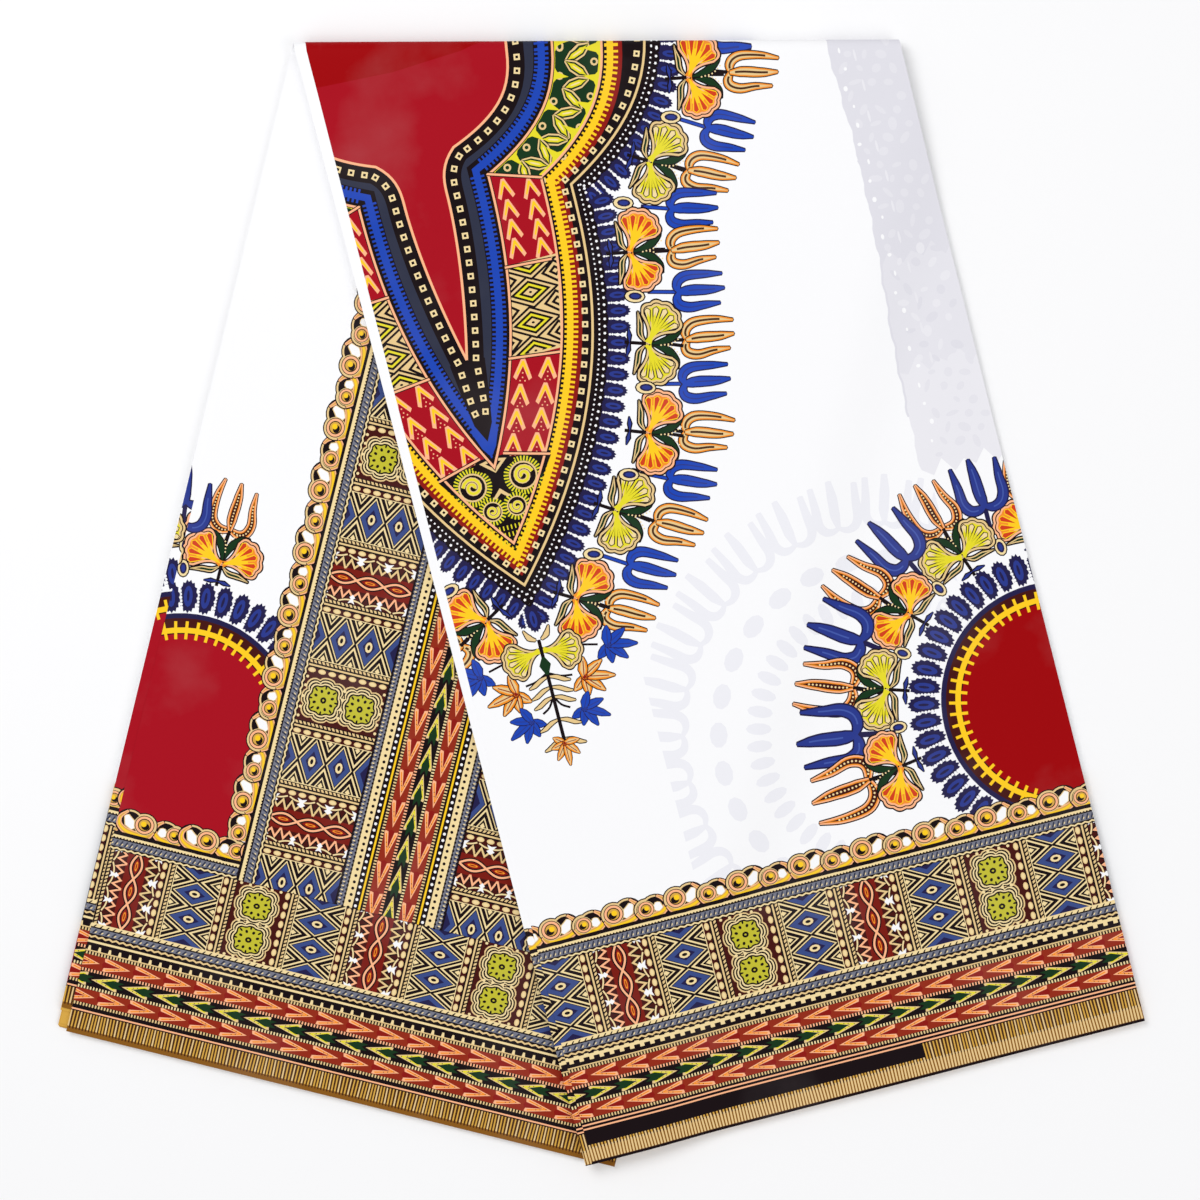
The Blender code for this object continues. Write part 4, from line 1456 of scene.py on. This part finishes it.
# ---------------------------------------------------------------- finishes
def node_group(name, inputs, outputs):
    group = bpy.data.node_groups.new(name, "ShaderNodeTree")
    for label, kind, value in inputs:
        socket = group.interface.new_socket(label, in_out="INPUT", socket_type=kind)
        if value is not None:
            socket.default_value = value
    for label, kind in outputs:
        group.interface.new_socket(label, in_out="OUTPUT", socket_type=kind)
    return group, group.nodes.new("NodeGroupInput"), group.nodes.new("NodeGroupOutput")


def math_node(tree, operation, a, b=None):
    node = tree.nodes.new("ShaderNodeMath")
    node.operation = operation
    for socket, value in zip(node.inputs, (a, b)):
        if value is None:
            continue
        if isinstance(value, (int, float)):
            socket.default_value = value
        else:
            tree.links.new(value, socket)
    return node.outputs[0]


def plain_weave():
    """Crossing threads: their height, and a painted shade for the gaps between them, darker where the weave
    lies low.
    """
    group, given, out = node_group(
        "Plain weave",
        [("Cloth", "NodeSocketVector", None), ("Threads per metre", "NodeSocketFloat", 2600.0)],
        [("Height", "NodeSocketFloat"), ("Gap shade", "NodeSocketFloat")])
    split_xy = group.nodes.new("ShaderNodeSeparateXYZ")
    group.links.new(given.outputs["Cloth"], split_xy.inputs[0])
    waves = []
    for axis in (0, 1):
        turns = math_node(group, "MULTIPLY", split_xy.outputs[axis], given.outputs["Threads per metre"])
        waves.append(math_node(group, "SINE", math_node(group, "MULTIPLY", turns, pi)))
    height = math_node(group, "MULTIPLY", waves[0], waves[1])
    group.links.new(height, out.inputs["Height"])
    # painted shade: colour down to 0.94 where the weave lies low
    gap_shade = math_node(group, "MULTIPLY_ADD", height, 0.03)
    gap_shade.node.inputs[2].default_value = 0.97
    group.links.new(gap_shade, out.inputs["Gap shade"])
    return group


def wax_dye_and_sheen():
    """Wax-printed dye and painted sheen: broad clouds pale the ink towards a pinkish grey, for uneven uptake
    and for sheen, strongest in the deep dyes.
    """
    group, given, out = node_group(
        "Wax dye and painted sheen",
        [("Ink", "NodeSocketColor", None), ("Place", "NodeSocketVector", None),
         ("Mottle and sheen", "NodeSocketFloat", 0.5)],
        [("Colour", "NodeSocketColor"), ("Depth", "NodeSocketFloat")])
    cloud = group.nodes.new("ShaderNodeTexNoise")
    cloud.inputs["Scale"].default_value = 14.0
    cloud.inputs["Detail"].default_value = 5.0
    group.links.new(given.outputs["Place"], cloud.inputs["Vector"])
    hsv = group.nodes.new("ShaderNodeSeparateColor")
    hsv.mode = "HSV"
    group.links.new(given.outputs["Ink"], hsv.inputs[0])
    depth = hsv.outputs[1]
    lift = math_node(group, "MULTIPLY", math_node(group, "SUBTRACT", cloud.outputs["Fac"], 0.5),
                     given.outputs["Mottle and sheen"])
    lift = math_node(group, "MULTIPLY", lift, depth)
    amount = math_node(group, "MAXIMUM", lift, 0.0)
    # painted sheen and mottle: deep dyes paled towards a pinkish grey where the clouds rise
    mottle_and_sheen = group.nodes.new("ShaderNodeMix")
    mottle_and_sheen.data_type = "RGBA"
    group.links.new(amount, mottle_and_sheen.inputs[0])
    group.links.new(given.outputs["Ink"], mottle_and_sheen.inputs[6])
    mottle_and_sheen.inputs[7].default_value = (0.72, 0.66, 0.68, 1)
    group.links.new(mottle_and_sheen.outputs[2], out.inputs["Colour"])
    group.links.new(depth, out.inputs["Depth"])
    return group


def printed_cotton():
    material = bpy.data.materials.new("printed_cotton")
    material.use_nodes = True
    tree = material.node_tree
    shader = tree.nodes["Principled BSDF"]
    ink = tree.nodes.new("ShaderNodeAttribute")
    ink.attribute_name = "ink"
    cloth = tree.nodes.new("ShaderNodeUVMap")
    cloth.uv_map = "Weave"
    dye = tree.nodes.new("ShaderNodeGroup")
    dye.node_tree = wax_dye_and_sheen()
    # how much the clouds of mottle and painted sheen pale the deep dyes
    dye.inputs["Mottle and sheen"].default_value = 0.22
    weave = tree.nodes.new("ShaderNodeGroup")
    weave.node_tree = plain_weave()
    tree.links.new(ink.outputs["Vector"], dye.inputs["Ink"])
    tree.links.new(cloth.outputs[0], dye.inputs["Place"])
    tree.links.new(cloth.outputs[0], weave.inputs["Cloth"])
    # the dye darkened by the weave's painted shade
    dye_with_gap_shade = tree.nodes.new("ShaderNodeMix")
    dye_with_gap_shade.data_type = "RGBA"
    dye_with_gap_shade.blend_type = "MULTIPLY"
    dye_with_gap_shade.inputs[0].default_value = 1.0
    tree.links.new(dye.outputs["Colour"], dye_with_gap_shade.inputs[6])
    tree.links.new(weave.outputs["Gap shade"], dye_with_gap_shade.inputs[7])
    tree.links.new(dye_with_gap_shade.outputs[2], shader.inputs["Base Color"])
    bump = tree.nodes.new("ShaderNodeBump")
    bump.inputs["Strength"].default_value = 0.25
    bump.inputs["Distance"].default_value = 0.00008
    tree.links.new(weave.outputs["Height"], bump.inputs["Height"])
    tree.links.new(bump.outputs[0], shader.inputs["Normal"])
    rough = math_node(tree, "MULTIPLY_ADD", dye.outputs["Depth"], -0.14)
    rough.node.inputs[2].default_value = 0.72
    tree.links.new(rough, shader.inputs["Roughness"])
    shader.inputs["Specular IOR Level"].default_value = 0.06
    return material


cotton = printed_cotton()
for piece, slot in ((right_wing_cloth, "right_wing_print"), (right_second_layer, "hidden_cloth"),
                    (left_wing_cloth, "left_wing_print"), (left_second_layer, "hidden_cloth"),
                    (leaves, "hidden_cloth")):
    piece.data.materials.append(cotton)
    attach(piece, "root")
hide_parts("right_wing_face")
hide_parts("left_wing_face")
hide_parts("hidden_layers")

# ---------------------------------------------------------------- floor, light and camera
view_settings = bpy.context.scene.view_settings
view_settings.view_transform = "Standard"

bpy.ops.mesh.primitive_plane_add(size=6)
floor = bpy.context.object
floor.name = "floor"
paper = bpy.data.materials.new("white_paper")
paper.use_nodes = True
paper.node_tree.nodes["Principled BSDF"].inputs["Base Color"].default_value = (0.93, 0.93, 0.94, 1)
paper.node_tree.nodes["Principled BSDF"].inputs["Roughness"].default_value = 0.9
floor.data.materials.append(paper)

world = bpy.data.worlds.new("studio")
bpy.context.scene.world = world
world.use_nodes = True
world.node_tree.nodes["Background"].inputs[0].default_value = (1, 1, 1, 1)
world.node_tree.nodes["Background"].inputs[1].default_value = 0.56
for name, place, size, power in (("key", (-0.9, 0.9, 1.9), 1.2, 23.0), ("fill", (1.2, -0.8, 1.8), 1.6, 12.0)):
    light = bpy.data.lights.new(name, "AREA")
    light.size = size
    light.energy = power
    lamp = bpy.data.objects.new(name, light)
    lamp.location = place
    lamp.rotation_euler = (Vector((0, 0, 0)) - Vector(place)).to_track_quat("-Z", "Y").to_euler()
    bpy.context.scene.collection.objects.link(lamp)

lens = bpy.data.cameras.new("camera")
lens.lens = 100
lens.sensor_width = 36
camera = bpy.data.objects.new("camera", lens)
FRAME_SIDE = 0.6468
camera.location = (0.0003, 0.0022, FRAME_SIDE * lens.lens / lens.sensor_width + 0.005)
camera.rotation_euler = (0, 0, -radians(0.25))
bpy.context.scene.collection.objects.link(camera)
bpy.context.scene.camera = camera
